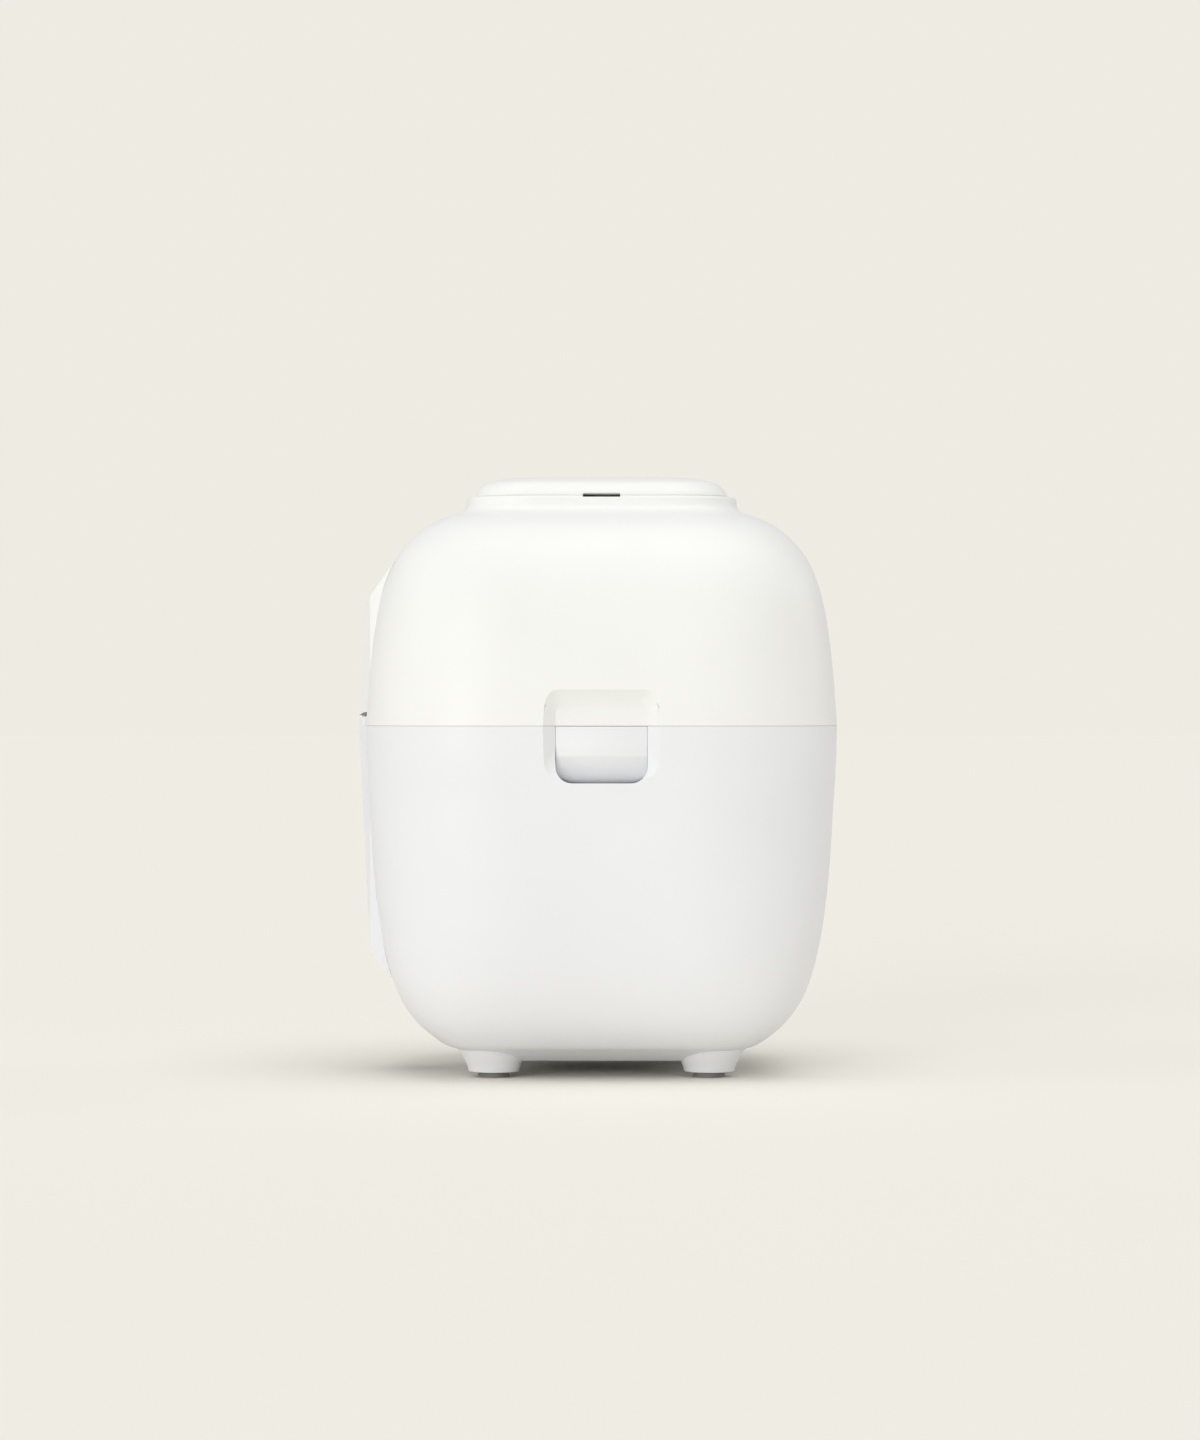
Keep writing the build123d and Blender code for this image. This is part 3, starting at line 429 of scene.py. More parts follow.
def lacquered_board(name, colour):
    """Circuit board: copper tracks that show through green lacquer."""
    material, tree, shader, at = new_finish(name)
    tracks = tree.nodes.new("ShaderNodeTexBrick")
    tracks.inputs["Scale"].default_value = 160.0
    tracks.inputs["Mortar Size"].default_value = 0.12
    tracks.inputs["Color1"].default_value = (*colour, 1)
    tracks.inputs["Color2"].default_value = (*shade(colour, 1.25), 1)
    tracks.inputs["Mortar"].default_value = (*shade(colour, 2.1), 1)
    tree.links.new(at, tracks.inputs["Vector"])
    tree.links.new(tracks.outputs["Color"], shader.inputs["Base Color"])
    tree.links.new(ranged(tree, noise(tree, at, 150.0), 0.28, 0.42), shader.inputs["Roughness"])
    bumped(tree, shader, [(tracks.outputs["Fac"], 0.4, 0.00004)])
    return material


# ------------------------------------------------------------------ which node has which finish


def finish_table(colours):
    lid = tuple(colours.lid)
    base = tuple(colours.base)
    trim = tuple(colours.trim)
    panel = tuple(colours.panel)
    steel = (0.60, 0.60, 0.61)
    return {
        moulded_plastic("satin_lid_plastic", lid, 0.46): [
            "lid_shell", "steam_cover", "spine_upper"],
        moulded_plastic("satin_base_plastic", base, 0.46): [
            "base_shell", "bottom_cover", "spine_lower", "latch_button_left",
            "latch_button_right"],
        moulded_plastic("grey_inner_plastic", trim, 0.5, 0.2): [
            "base_deck", "lid_liner", "steam_duct"],
        moulded_plastic("black_glass_filled_plastic", (0.018, 0.018, 0.02), 0.45, 0.3): [
            "inlet_socket", "pressure_weight", "board_parts"],
        moulded_plastic("panel_plastic", panel, 0.3, 0.08, 0.3): [
            "control_panel", "key_1", "key_2", "key_3", "key_4"],
        smoked_window("smoked_display", (0.012, 0.012, 0.014)): ["display_window"],
        pressed_rubber("foot_rubber", tuple(colours.rubber)): [
            "foot_pad_rear_left", "foot_pad_rear_right", "foot_pad_front_left",
            "foot_pad_front_right"],
        cast_silicone("milky_silicone", (0.62, 0.64, 0.66)): ["gasket", "float_seal"],
        brushed_metal("brushed_steel", steel, 0.3): [
            "hinge_bracket", "lid_arm", "lid_frame", "latch_hook_left", "latch_hook_right",
            "inlet_blades"],
        brushed_metal("turned_steel", steel, 0.22, (60, 1, 60)): [
            "hinge_pin", "latch_pin_left", "latch_pin_right", "latch_spring_left",
            "latch_spring_right", "sensor_spring", "cover_screws", "liner_screws", "vent_tube",
            "vent_screen", "float_bush", "float_pin"],
        spun_metal("spun_aluminium", (0.72, 0.72, 0.73), 0.3, 380.0): [
            "inner_lid", "heating_plate", "pot_sensor"],
        brushed_metal("rolled_aluminium", (0.66, 0.66, 0.67), 0.36, (40, 40, 1)): [
            "heat_shield"],
        non_stick("non_stick_coating", (0.022, 0.022, 0.024)): ["inner_pot"],
        brushed_metal("brass", (0.62, 0.44, 0.17), 0.3, (60, 60, 1)): [
            "heater_pins", "thermal_fuse"],
        lacquered_board("green_board", (0.012, 0.075, 0.028)): ["power_board", "control_board"],
    }


# ------------------------------------------------------------------ modelling helpers


def start_fresh():
    bpy.ops.object.select_all(action="DESELECT")


def take(piece):
    """Makes one piece the only selected and active one."""
    start_fresh()
    piece.select_set(True)
    bpy.context.view_layer.objects.active = piece


def pick_faces(piece, test):
    """In edit mode, selects the faces whose middle and normal pass the test."""
    bpy.ops.mesh.select_all(action="DESELECT")
    bpy.ops.object.mode_set(mode="OBJECT")
    for face in piece.data.polygons:
        face.select = test(face.center, face.normal)
    bpy.ops.object.mode_set(mode="EDIT")


def settle(piece):
    """Puts a piece's place into its mesh, so that its object sits at the origin."""
    take(piece)
    bpy.ops.object.transform_apply(location=True, rotation=True, scale=True)


def finish_modifier(piece, kind, **settings):
    take(piece)
    modifier = piece.modifiers.new(kind.lower(), kind)
    for key, value in settings.items():
        setattr(modifier, key, value)
    bpy.ops.object.modifier_apply(modifier=modifier.name)


def smooth(piece, degrees=smooth_angle):
    take(piece)
    bpy.ops.object.shade_smooth_by_angle(angle=math.radians(degrees))


def combine(piece, other, operation):
    """Adds another piece or takes it away. The other piece is used up."""
    finish_modifier(piece, "BOOLEAN", operation=operation, solver="EXACT", object=other)
    bpy.data.objects.remove(other, do_unlink=True)


def cut(piece, cutter):
    combine(piece, cutter, "DIFFERENCE")


def make_solid():
    """From edit mode: closes the open rim, if there is one, and turns the faces outwards."""
    bpy.ops.mesh.select_all(action="DESELECT")
    bpy.ops.mesh.select_mode(type="EDGE")
    bpy.ops.mesh.select_non_manifold()
    bpy.ops.mesh.edge_face_add()
    bpy.ops.mesh.select_mode(type="FACE")
    bpy.ops.mesh.select_all(action="SELECT")
    bpy.ops.mesh.normals_make_consistent(inside=False)
    bpy.ops.object.mode_set(mode="OBJECT")


def rounded_square(name, half, corner, z, facing_up=True):
    """A flat rounded square about the pot's axis, with softly blended corners."""
    start_fresh()
    bpy.ops.mesh.primitive_plane_add(size=2 * half, location=(pot_axis_x, 0, z))
    piece = bpy.context.object
    piece.name = name
    settle(piece)
    bpy.ops.object.mode_set(mode="EDIT")
    bpy.ops.mesh.select_all(action="SELECT")
    bpy.ops.mesh.bevel(
        affect="VERTICES", offset=corner, offset_type="OFFSET", segments=corner_steps,
        profile=corner_profile)
    bpy.ops.mesh.select_all(action="SELECT")
    if not facing_up:
        bpy.ops.mesh.flip_normals()
    return piece


def smooth_curve(points, count):
    """Points along a smooth curve through the given (pull in, height) pairs."""
    found = []
    ends = [points[0]] + points + [points[-1]]
    for number in range(1, len(ends) - 2):
        before, first, last, after = ends[number - 1:number + 3]
        for step in range(count):
            t = step / count
            found.append(tuple(
                0.5 * (2 * b + (c - a) * t + (2 * a - 5 * b + 4 * c - d) * t * t
                       + (3 * b - a - 3 * c + d) * t ** 3)
                for a, b, c, d in zip(before, first, last, after)))
    found.append(points[-1])
    return found


def eased(share):
    share = min(1.0, max(0.0, share))
    return share * share * (3 - 2 * share)


def outline_rings(points, half, low, high, count):
    return [
        (half - pull * mm, low + share * (high - low))
        for pull, share in smooth_curve(points, count)]


def draw_through(rings, keep, start, full):
    """From edit mode with the end face selected: draws it through every ring.

    The corners tighten as the ring shrinks, except that between the heights start and full they
    come to keep that much of their shape.
    """
    for (half, z), (new_half, new_z) in zip(rings, rings[1:]):
        kept = keep * eased((new_z - start) / (full - start))
        thickness = max(0.0, (half - new_half) * (1 - kept))
        bpy.ops.mesh.inset(thickness=thickness, depth=abs(new_z - z), use_even_offset=True)
        scale = new_half / (half - thickness)
        bpy.ops.transform.resize(
            value=(scale, scale, 1), center_override=(pot_axis_x, 0, 0))


def block_cutter(x, y, z):
    start_fresh()
    bpy.ops.mesh.primitive_cube_add(
        size=1, location=((x[0] + x[1]) / 2, (y[0] + y[1]) / 2, (z[0] + z[1]) / 2),
        scale=(x[1] - x[0], y[1] - y[0], z[1] - z[0]))
    cutter = bpy.context.object
    settle(cutter)
    return cutter


def disc_cutter(radius, low, high, sides=96):
    start_fresh()
    bpy.ops.mesh.primitive_cylinder_add(
        vertices=sides, radius=radius, depth=high - low,
        location=(pot_axis_x, 0, (low + high) / 2))
    cutter = bpy.context.object
    settle(cutter)
    return cutter


def upright_outline(name, half_wide, low, high, corner, y, low_corners_only=False):
    """An upright rounded rectangle in the plane of that y, facing -Y, left in edit mode."""
    start_fresh()
    bpy.ops.mesh.primitive_plane_add(
        size=1, location=(pot_axis_x, y, (low + high) / 2), rotation=(math.pi / 2, 0, 0))
    piece = bpy.context.object
    piece.name = name
    bpy.ops.transform.resize(value=(2 * half_wide, 1, high - low))
    settle(piece)
    for vertex in piece.data.vertices:
        vertex.select = not low_corners_only or vertex.co.z < (low + high) / 2
    for edge in piece.data.edges:
        edge.select = False
    for face in piece.data.polygons:
        face.select = False
    bpy.ops.object.mode_set(mode="EDIT")
    bpy.ops.mesh.select_mode(type="VERT")
    bpy.ops.mesh.bevel(
        affect="VERTICES", offset=corner, offset_type="OFFSET", segments=6, profile=0.5)
    bpy.ops.mesh.select_mode(type="FACE")
    bpy.ops.mesh.select_all(action="SELECT")
    return piece


def recess_cutter():
    """The finger recess of the -Y side: side ramps, a coved ceiling and a fading lower end."""
    half, low, high, out = recess_half, recess_low_z, recess_high_z, 0.0
    cutter = upright_outline("recess_cutter", half, low, high, recess_corner, -recess_y)
    for share in recess_steps:
        new_half = recess_half + recess_ramp * share
        new_low = recess_low_z - recess_fade * share
        inner = min(share, 1.0)
        arch = (inner + math.sqrt(1 - (1 - inner) ** 2)) / 2
        new_high = recess_high_z + recess_ceiling * arch
        scale = (new_high - new_low) / (high - low)
        fixed = (new_high - scale * high) / (1 - scale)
        bpy.ops.mesh.extrude_region_move(
            TRANSFORM_OT_translate={"value": (0, (out - share) * recess_depth, 0)})
        bpy.ops.transform.resize(
            value=(new_half / half, 1, scale), center_override=(pot_axis_x, 0, fixed))
        half, low, high, out = new_half, new_low, new_high, share
    make_solid()
    return cutter


def button_way_cutter():
    start, end = button_way_y
    way = upright_outline(
        "way_cutter", recess_half, button_low_z, button_way_high_z, button_way_corner, start,
        low_corners_only=True)
    bpy.ops.mesh.extrude_region_move(TRANSFORM_OT_translate={"value": (0, end - start, 0)})
    make_solid()
    return way


def panel_cutter():
    """The rounded window that the control panel fills."""
    start_fresh()
    bpy.ops.mesh.primitive_plane_add(
        size=1, location=(panel_high.x + panel_start, 0, (panel_low.z + panel_high.z) / 2),
        rotation=(0, math.pi / 2, 0))
    window = bpy.context.object
    bpy.ops.transform.resize(
        value=(1, 2 * panel_half, panel_high.z - panel_low.z + 2 * slack))
    settle(window)
    bpy.ops.object.mode_set(mode="EDIT")
    bpy.ops.mesh.select_all(action="SELECT")
    bpy.ops.mesh.bevel(
        affect="VERTICES", offset=panel_corner, offset_type="OFFSET", segments=8, profile=0.5)
    bpy.ops.mesh.select_all(action="SELECT")
    bpy.ops.mesh.extrude_region_move(TRANSFORM_OT_translate={"value": (-panel_depth, 0, 0)})
    make_solid()
    return window


def other_side(piece):
    """A copy of a piece on the +Y side."""
    take(piece)
    bpy.ops.object.duplicate()
    copy = bpy.context.object
    bpy.ops.object.mode_set(mode="EDIT")
    bpy.ops.mesh.select_all(action="SELECT")
    bpy.ops.transform.resize(value=(1, -1, 1), center_override=(0, 0, 0))
    bpy.ops.mesh.flip_normals()
    bpy.ops.object.mode_set(mode="OBJECT")
    return copy


def cut_both_sides(piece, cutter):
    mirrored = other_side(cutter)
    cut(piece, cutter)
    cut(piece, mirrored)


def join_all(pieces):
    take(pieces[0])
    for piece in pieces:
        piece.select_set(True)
    bpy.ops.object.join()
    return pieces[0]


def between(value, span):
    return span[0] - slack < value < span[1] + slack


def remove_faces(piece, test):
    """Deletes the faces whose middle and normal pass the test."""
    take(piece)
    bpy.ops.object.mode_set(mode="EDIT")
    bpy.ops.mesh.select_mode(type="FACE")
    pick_faces(piece, test)
    bpy.ops.mesh.delete(type="FACE")
    bpy.ops.object.mode_set(mode="OBJECT")


def clean_up(piece):
    take(piece)
    bpy.ops.object.mode_set(mode="EDIT")
    bpy.ops.mesh.select_all(action="SELECT")
    bpy.ops.mesh.remove_doubles(threshold=weld)
    bpy.ops.mesh.dissolve_degenerate(threshold=weld)
    bpy.ops.object.mode_set(mode="OBJECT")


def give_wall(piece):
    """Gives a skin its wall, inwards, and rounds its visible edges."""
    clean_up(piece)
    finish_modifier(piece, "SOLIDIFY", thickness=skin, offset=-1.0, use_even_offset=True,
                    thickness_clamp=0.9)
    finish_modifier(piece, "BEVEL", width=skin_edge, segments=2, limit_method="ANGLE",
                    angle_limit=math.radians(38), use_clamp_overlap=False)
    smooth(piece)
    finish_modifier(piece, "WEIGHTED_NORMAL", keep_sharp=True)


def put_on(piece, body, slot, material, *replaced):
    """Gives a piece its material, and says what it moves with and what it stands in for."""
    piece.data.materials.clear()
    piece.data.materials.append(bpy.data.materials[material])
    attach(piece, body)
    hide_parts(*replaced)


# ------------------------------------------------------------------ the base


def turned_leg(x, y):
    """A flared leg with the seat of its rubber pad."""
    radius, z = leg_rings[0]
    start_fresh()
    bpy.ops.mesh.primitive_circle_add(
        vertices=leg_sides, radius=radius * mm, fill_type="NGON", location=(x, y, z * mm))
    leg = bpy.context.object
    settle(leg)
    bpy.ops.object.mode_set(mode="EDIT")
    bpy.ops.mesh.select_all(action="SELECT")
    bpy.ops.mesh.flip_normals()
    for new_radius, new_z in leg_rings[1:]:
        bpy.ops.mesh.extrude_region_move(
            TRANSFORM_OT_translate={"value": (0, 0, (new_z - z) * mm)})
        scale = new_radius / radius
        bpy.ops.transform.resize(value=(scale, scale, 1), center_override=(x, y, 0))
        radius, z = new_radius, new_z
    make_solid()
    return leg


def in_base_opening(at, normal):
    """True for the faces that the cutters leave inside the base."""
    across = abs(at.x - pot_axis_x)
    sideways = abs(normal.x) < flat_normal
    return (
        at.z > seam_z - seam_gap / 2 - slack / 5
        or (across < recess_half + slack and at.z > button_low_z - slack
            and between(-abs(at.y), (button_way_y[1], button_way_y[1])))
        or (math.hypot(across, at.y) < bottom_hole_r + slack / 2
            and between(at.z, (belly_z + 2 * slack, bottom_hole_z[1])))
        or (at.x > panel_end - 1 * mm and abs(at.y) < panel_half + slack
            and between(at.z, (panel_low.z - 1 * mm, panel_high.z + 1 * mm))
            and (sideways or at.x < panel_end + 3 * mm))
        or (at.x < inlet_x[1] + 6 * mm and between(at.y, inlet_y) and between(at.z, inlet_z)
            and (sideways or at.x > inlet_x[1] - 1 * mm))
        or (at.x < bracket_start + 20 * mm and between(at.y, bracket_y)
            and at.z > bracket_z[0] - slack
            and (sideways or at.x > bracket_start + bracket_depth - 2 * mm)))


class COOKER_OT_mould_base(bpy.types.Operator):
    """Model the base's outer moulding with its recesses, openings and legs"""

    bl_idname = "cooker.mould_base"
    bl_label = "Base moulding"

    def execute(self, context):
        top = seam_z - seam_gap / 2
        rings = outline_rings(base_outline, body_half, belly_z, top, 4)
        base = rounded_square("base_moulding", body_half, body_corner, top, facing_up=False)
        draw_through(rings, *base_keep)
        make_solid()
        legs = [
            turned_leg(pot_axis_x + x, y) for x in (-leg_at, leg_at) for y in (-leg_at, leg_at)]
        combine(base, join_all(legs), "UNION")
        cut_both_sides(base, recess_cutter())
        cut_both_sides(base, button_way_cutter())
        cut(base, disc_cutter(bottom_hole_r, *bottom_hole_z))
        cut(base, panel_cutter())
        cut(base, block_cutter(inlet_x, inlet_y, inlet_z))
        cut(base, block_cutter(
            (bracket_start - 3 * mm, bracket_start + bracket_depth), bracket_y, bracket_z))
        remove_faces(base, in_base_opening)
        give_wall(base)
        put_on(base, "base", "base_plastic", "satin_base_plastic", "base_shell")
        return {"FINISHED"}


# ------------------------------------------------------------------ the lid


def knuckle_cutter():
    """Room for the hinge's knuckle in the lid's rear edge."""
    start_fresh()
    bpy.ops.mesh.primitive_cylinder_add(
        vertices=48, radius=hinge_clear_r, depth=hinge_clear_width,
        location=(hinge_x, 0, seam_z), rotation=(math.pi / 2, 0, 0))
    knuckle = bpy.context.object
    settle(knuckle)
    return knuckle


def in_lid_opening(at, normal):
    """True for the faces that the cutters leave inside the lid."""
    upright = abs(normal.z) < flat_normal + 0.01
    return (
        at.z < seam_z + seam_gap / 2 + slack / 5
        or (math.hypot(at.x - pot_axis_x, at.y) < well_r + slack
            and well_z[0] - 10 * mm < at.z < notch_low_z + notch_edge
            and (upright or at.z < well_z[0] + 1 * mm)))


class COOKER_OT_mould_lid(bpy.types.Operator):
    """Model the lid's outer moulding: the dome, its recesses and the plinth"""

    bl_idname = "cooker.mould_lid"
    bl_label = "Lid moulding"

    def execute(self, context):
        low = seam_z + seam_gap / 2
        rings = outline_rings(lid_outline, body_half, low, dome_z, 4)
        rings += outline_rings(plinth_outline, body_half, low, dome_z, 2)
        lid = rounded_square("lid_moulding", body_half, body_corner, low)
        draw_through(rings, *lid_keep)
        make_solid()
        cut_both_sides(lid, recess_cutter())
        cut(lid, disc_cutter(well_r, *well_z))
        cut(lid, block_cutter(notch_x, notch_y, (notch_low_z, dome_z + 10.7 * mm)))
        cut(lid, knuckle_cutter())
        cut(lid, block_cutter(
            (hinge_x - 5 * mm, hinge_x + 4 * mm), arm_y, (seam_z - 10.5 * mm, seam_z + arm_rise)))
        remove_faces(lid, in_lid_opening)
        give_wall(lid)
        put_on(lid, "lid", "lid_plastic", "satin_lid_plastic", "lid_shell")
        return {"FINISHED"}


# ------------------------------------------------------------------ the steam cover


def open_skirt():
    """The ring under the steam cover that drops into the lid's well."""
    start_fresh()
    bpy.ops.mesh.primitive_cylinder_add(
        vertices=96, radius=skirt_r, depth=skirt_height, end_fill_type="NOTHING",
        location=(pot_axis_x, 0, skirt_middle_z))
    skirt = bpy.context.object
    settle(skirt)
    finish_modifier(skirt, "SOLIDIFY", thickness=skirt_wall, offset=-1.0)
    return skirt


def in_cover_opening(at, normal):
    """True for the cover's underside and for the inner faces of its two notches."""
    low = cover_z[0]
    return (
        at.z < low + slack / 5
        or (abs(at.x - pot_axis_x) < notch_half + slack and at.z < low + notch_rise + slack
            and (normal.z < -0.1 or abs(normal.x) > 0.9)))


class COOKER_OT_mould_cover(bpy.types.Operator):
    """Model the pillow-shaped steam cover with its two notches and its skirt"""

    bl_idname = "cooker.mould_cover"
    bl_label = "Steam cover"

    def execute(self, context):
        low, high = cover_z
        rings = [(cover_half - pull * mm, low + rise * mm) for pull, rise in cover_foot]
        rings += outline_rings(cover_outline, cover_half, low, high, 3)
        cover = rounded_square("steam_cover_moulding", rings[0][0], cover_corner, low)
        draw_through(rings, 1.0, 0.0, low)
        make_solid()
        notch = block_cutter(notch_x, notch_y, (low - 4 * mm, low + notch_rise))
        finish_modifier(notch, "BEVEL", width=notch_edge, segments=3, limit_method="ANGLE")
        cut(cover, notch)
        remove_faces(cover, in_cover_opening)
        clean_up(cover)
        finish_modifier(
            cover, "SOLIDIFY", thickness=cover_wall, offset=-1.0, use_even_offset=True)
        join_all([cover, open_skirt()])
        smooth(cover)
        put_on(cover, "steam_cover", "lid_plastic", "satin_lid_plastic", "steam_cover")
        return {"FINISHED"}


# ------------------------------------------------------------------ the latch buttons


def fold_in(button):
    """Turns what is below each row a little further in, so that the rows make a smooth bend."""
    step = button_tilt / button_bend_steps
    arc = button_bend_r * step
    rows = [button_bend_z - number * arc for number in range(button_bend_steps)]
    for row in rows:
        bpy.ops.mesh.select_all(action="SELECT")
        bpy.ops.mesh.bisect(plane_co=(0, 0, row), plane_no=(0, 0, 1))
    bpy.ops.mesh.select_mode(type="VERT")
    bpy.ops.object.mode_set(mode="OBJECT")
    vertices = button.data.vertices
    heights = [vertex.co.z for vertex in vertices]
    lean, pivot_y, pivot_z = 0.0, -recess_y, button_bend_z
    for row in rows:
        for vertex, height in zip(vertices, heights):
            vertex.select = height < row - weld / 4
        for part in (*button.data.edges, *button.data.polygons):
            part.select = all(vertices[number].select for number in part.vertices)
        bpy.ops.object.mode_set(mode="EDIT")
        bpy.ops.transform.rotate(
            value=-step, orient_axis="X", center_override=(0, pivot_y, pivot_z))
        bpy.ops.object.mode_set(mode="OBJECT")
        pivot_y += arc * math.sin(lean)
        pivot_z -= arc * math.cos(lean)
        lean += step


def pivot_lug(x):
    """One of the two ears behind a button that its pin passes through."""
    lug = block_cutter((x - lug_half, x + lug_half), lug_y, lug_z)
    finish_modifier(lug, "BEVEL", width=lug_edge, segments=3, limit_method="ANGLE")
    return lug


class COOKER_OT_mould_buttons(bpy.types.Operator):
    """Model the two latch buttons, whose lower halves turn in under the fingertips"""

    bl_idname = "cooker.mould_buttons"
    bl_label = "Latch buttons"

    def execute(self, context):
        drop = (button_bend_z - button_low_z - 2 * slack) / math.cos(button_tilt) + 2 * slack
        left = upright_outline(
            "latch_button_moulding_left", recess_half - button_gap, button_bend_z - drop,
            button_top_z, button_corner, -recess_y, low_corners_only=True)
        fold_in(left)
        clean_up(left)
        finish_modifier(
            left, "SOLIDIFY", thickness=button_wall, offset=-1.0, use_even_offset=True)
        finish_modifier(left, "BEVEL", width=button_edge, segments=2, limit_method="ANGLE",
                        angle_limit=math.radians(50), use_clamp_overlap=False)
        join_all([left, *(pivot_lug(pot_axis_x + side * lug_at) for side in (-1, 1))])
        smooth(left)
        right = other_side(left)
        right.name = "latch_button_moulding_right"
        for piece, side in ((left, "left"), (right, "right")):
            put_on(piece, "latch_" + side, "base_plastic", "satin_base_plastic",
                   "latch_button_" + side)
        return {"FINISHED"}


# ------------------------------------------------------------------ the hinge spine


def merged_copy(node, name):
    """A copy of a node's mesh with its faces joined up and its flat areas made whole."""
    take(bpy.data.objects[node])
    bpy.ops.object.duplicate()
    copy = bpy.context.object
    copy.name = name
    if copy.parent:
        bpy.ops.object.parent_clear(type="CLEAR_KEEP_TRANSFORM")
    settle(copy)
    bpy.ops.object.mode_set(mode="EDIT")
    bpy.ops.mesh.select_mode(type="FACE")
    bpy.ops.mesh.select_all(action="SELECT")
    bpy.ops.mesh.remove_doubles(threshold=weld / 2)
    bpy.ops.mesh.dissolve_limited(angle_limit=math.radians(1.5))
    bpy.ops.object.mode_set(mode="OBJECT")
    return copy


class COOKER_OT_soften_spine(bpy.types.Operator):
    """Model both halves of the hinge spine with softened edges"""

    bl_idname = "cooker.soften_spine"
    bl_label = "Hinge spine"

    def execute(self, context):
        for node, body, material in (
            ("spine_upper", "lid", "satin_lid_plastic"),
            ("spine_lower", "base", "satin_base_plastic"),
        ):
            spine = merged_copy(node, node + "_moulding")
            finish_modifier(spine, "BEVEL", width=spine_edge, segments=spine_edge_steps,
                            limit_method="ANGLE", angle_limit=math.radians(9))
            smooth(spine, 40)
            finish_modifier(spine, "WEIGHTED_NORMAL", keep_sharp=True)
            put_on(spine, body, body + "_plastic", material, node)
        return {"FINISHED"}


# ------------------------------------------------------------------ finishes and the studio


class COOKER_OT_finish_nodes(bpy.types.Operator):
    """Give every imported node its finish"""

    bl_idname = "cooker.finish_nodes"
    bl_label = "Finish the packed nodes"

    def execute(self, context):
        finished = set()
        for material, names in finish_table(context.scene.cooker_colours).items():
            for name in names:
                data = nodes[name].data
                data.materials.clear()
                data.materials.append(material)
                finished.add(name)
        left = sorted(set(nodes) - finished)
        if left:
            raise RuntimeError("these nodes have no finish: " + ", ".join(left))
        return {"FINISHED"}


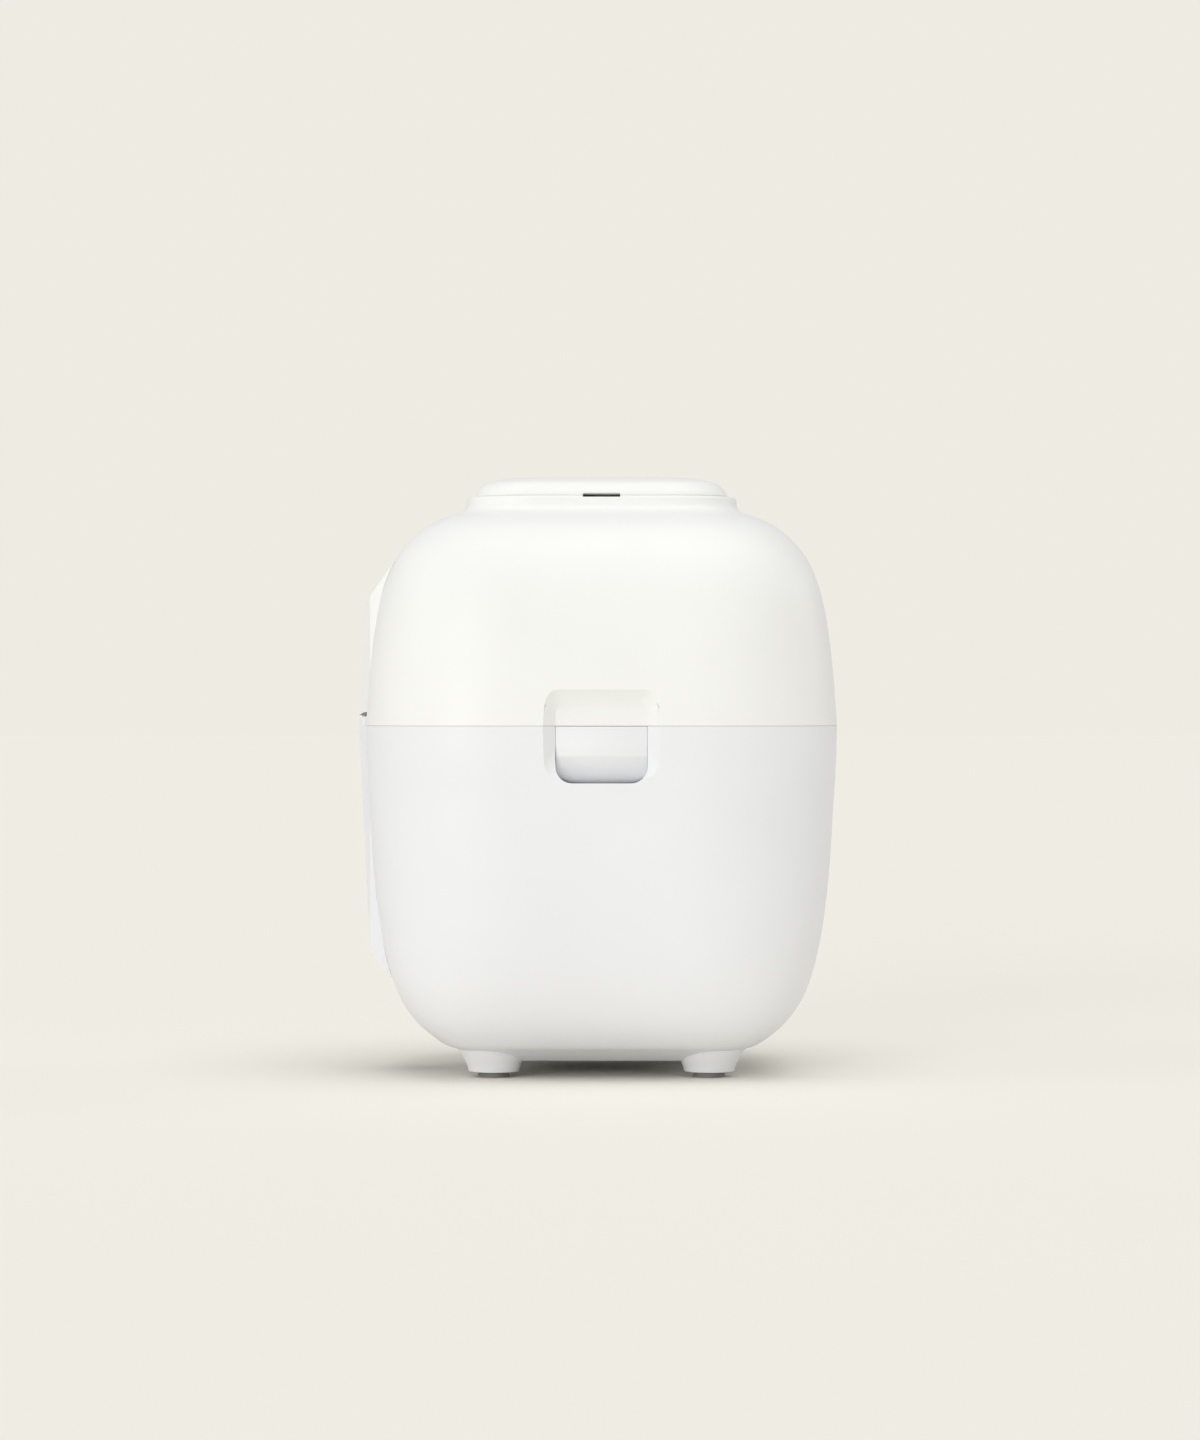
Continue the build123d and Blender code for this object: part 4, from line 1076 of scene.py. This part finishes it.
class COOKER_OT_set_stage(bpy.types.Operator):
    """Set the floor, the soft lights and the camera"""

    bl_idname = "cooker.set_stage"
    bl_label = "Set the stage"

    def execute(self, context):
        stage = context.scene.cooker_stage
        camera_data = bpy.data.cameras.new("camera")
        camera_data.lens = stage.lens
        camera_data.sensor_width = 36
        camera_data.clip_end = 60
        camera = bpy.data.objects.new("camera", camera_data)
        context.scene.collection.objects.link(camera)
        camera.location = (pot_axis_x + camera_shift, -stage.distance, stage.eye_height)
        drop = stage.eye_height - stage.aim_height
        camera.rotation_euler = (math.pi / 2 - math.atan2(drop, stage.distance), 0, 0)
        context.scene.camera = camera

        start_fresh()
        bpy.ops.mesh.primitive_plane_add(size=60)
        floor = context.object
        floor.name = "floor"
        material, tree, shader, at = new_finish("floor")
        colour = tuple(stage.floor)
        tree.links.new(tinted(tree, noise(tree, at, 3.0), shade(colour, 0.998), colour),
                       shader.inputs["Base Color"])
        shader.inputs["Roughness"].default_value = 1.0
        shader.inputs["Specular IOR Level"].default_value = 0.0
        floor.data.materials.append(material)

        world = bpy.data.worlds.new("studio")
        world.use_nodes = True
        tree = world.node_tree
        sky = tree.nodes["Background"]
        sky.inputs["Color"].default_value = (1, 1, 1, 1)
        sky.inputs["Strength"].default_value = stage.sky
        backdrop = tree.nodes.new("ShaderNodeBackground")
        backdrop.inputs["Color"].default_value = (*stage.backdrop, 1)
        path = tree.nodes.new("ShaderNodeLightPath")
        chosen = tree.nodes.new("ShaderNodeMixShader")
        tree.links.new(path.outputs["Is Camera Ray"], chosen.inputs["Fac"])
        tree.links.new(sky.outputs["Background"], chosen.inputs[1])
        tree.links.new(backdrop.outputs["Background"], chosen.inputs[2])
        tree.links.new(chosen.outputs["Shader"], tree.nodes["World Output"].inputs["Surface"])
        context.scene.world = world
        context.scene.view_settings.view_transform = "Standard"

        for name, direction, softness, power in (
            ("top_light", (0.10, -0.15, 1.00), 50, stage.top),
            ("front_light", (-0.42, -1.00, 0.07), 32, stage.front),
            ("side_light", (-1.00, -0.30, 0.30), 30, stage.side),
            ("rim_light", (0.90, 0.40, 0.25), 25, stage.rim),
        ):
            data = bpy.data.lights.new(name, "SUN")
            data.angle = math.radians(softness)
            data.energy = power
            lamp = bpy.data.objects.new(name, data)
            context.scene.collection.objects.link(lamp)
            lamp.location = Vector(direction)
            lamp.rotation_euler = Vector(direction).to_track_quat("Z", "Y").to_euler()
        return {"FINISHED"}


class COOKER_PT_panel(bpy.types.Panel):
    """Lists the cooker's steps"""

    bl_idname = "COOKER_PT_panel"
    bl_label = "Pressure cooker"
    bl_space_type = "VIEW_3D"
    bl_region_type = "UI"
    bl_category = "Cooker"

    def draw(self, context):
        for group in (context.scene.cooker_colours, context.scene.cooker_stage):
            for prop in group.bl_rna.properties:
                if prop.identifier not in ("rna_type", "name"):
                    self.layout.prop(group, prop.identifier)
        for step in steps:
            self.layout.operator(step.bl_idname)


groups = (CookerColours, CookerStage)
steps = (
    COOKER_OT_set_stage, COOKER_OT_finish_nodes, COOKER_OT_mould_base, COOKER_OT_mould_lid,
    COOKER_OT_mould_cover, COOKER_OT_mould_buttons, COOKER_OT_soften_spine)


def register():
    for item in (*groups, *steps, COOKER_PT_panel):
        bpy.utils.register_class(item)
    bpy.types.Scene.cooker_colours = PointerProperty(type=CookerColours)
    bpy.types.Scene.cooker_stage = PointerProperty(type=CookerStage)


def unregister():
    del bpy.types.Scene.cooker_stage
    del bpy.types.Scene.cooker_colours
    for item in reversed((*groups, *steps, COOKER_PT_panel)):
        bpy.utils.unregister_class(item)


def main():
    register()
    for step in steps:
        group, name = step.bl_idname.split(".")
        getattr(getattr(bpy.ops, group), name)()


if __name__ == "__main__":
    main()
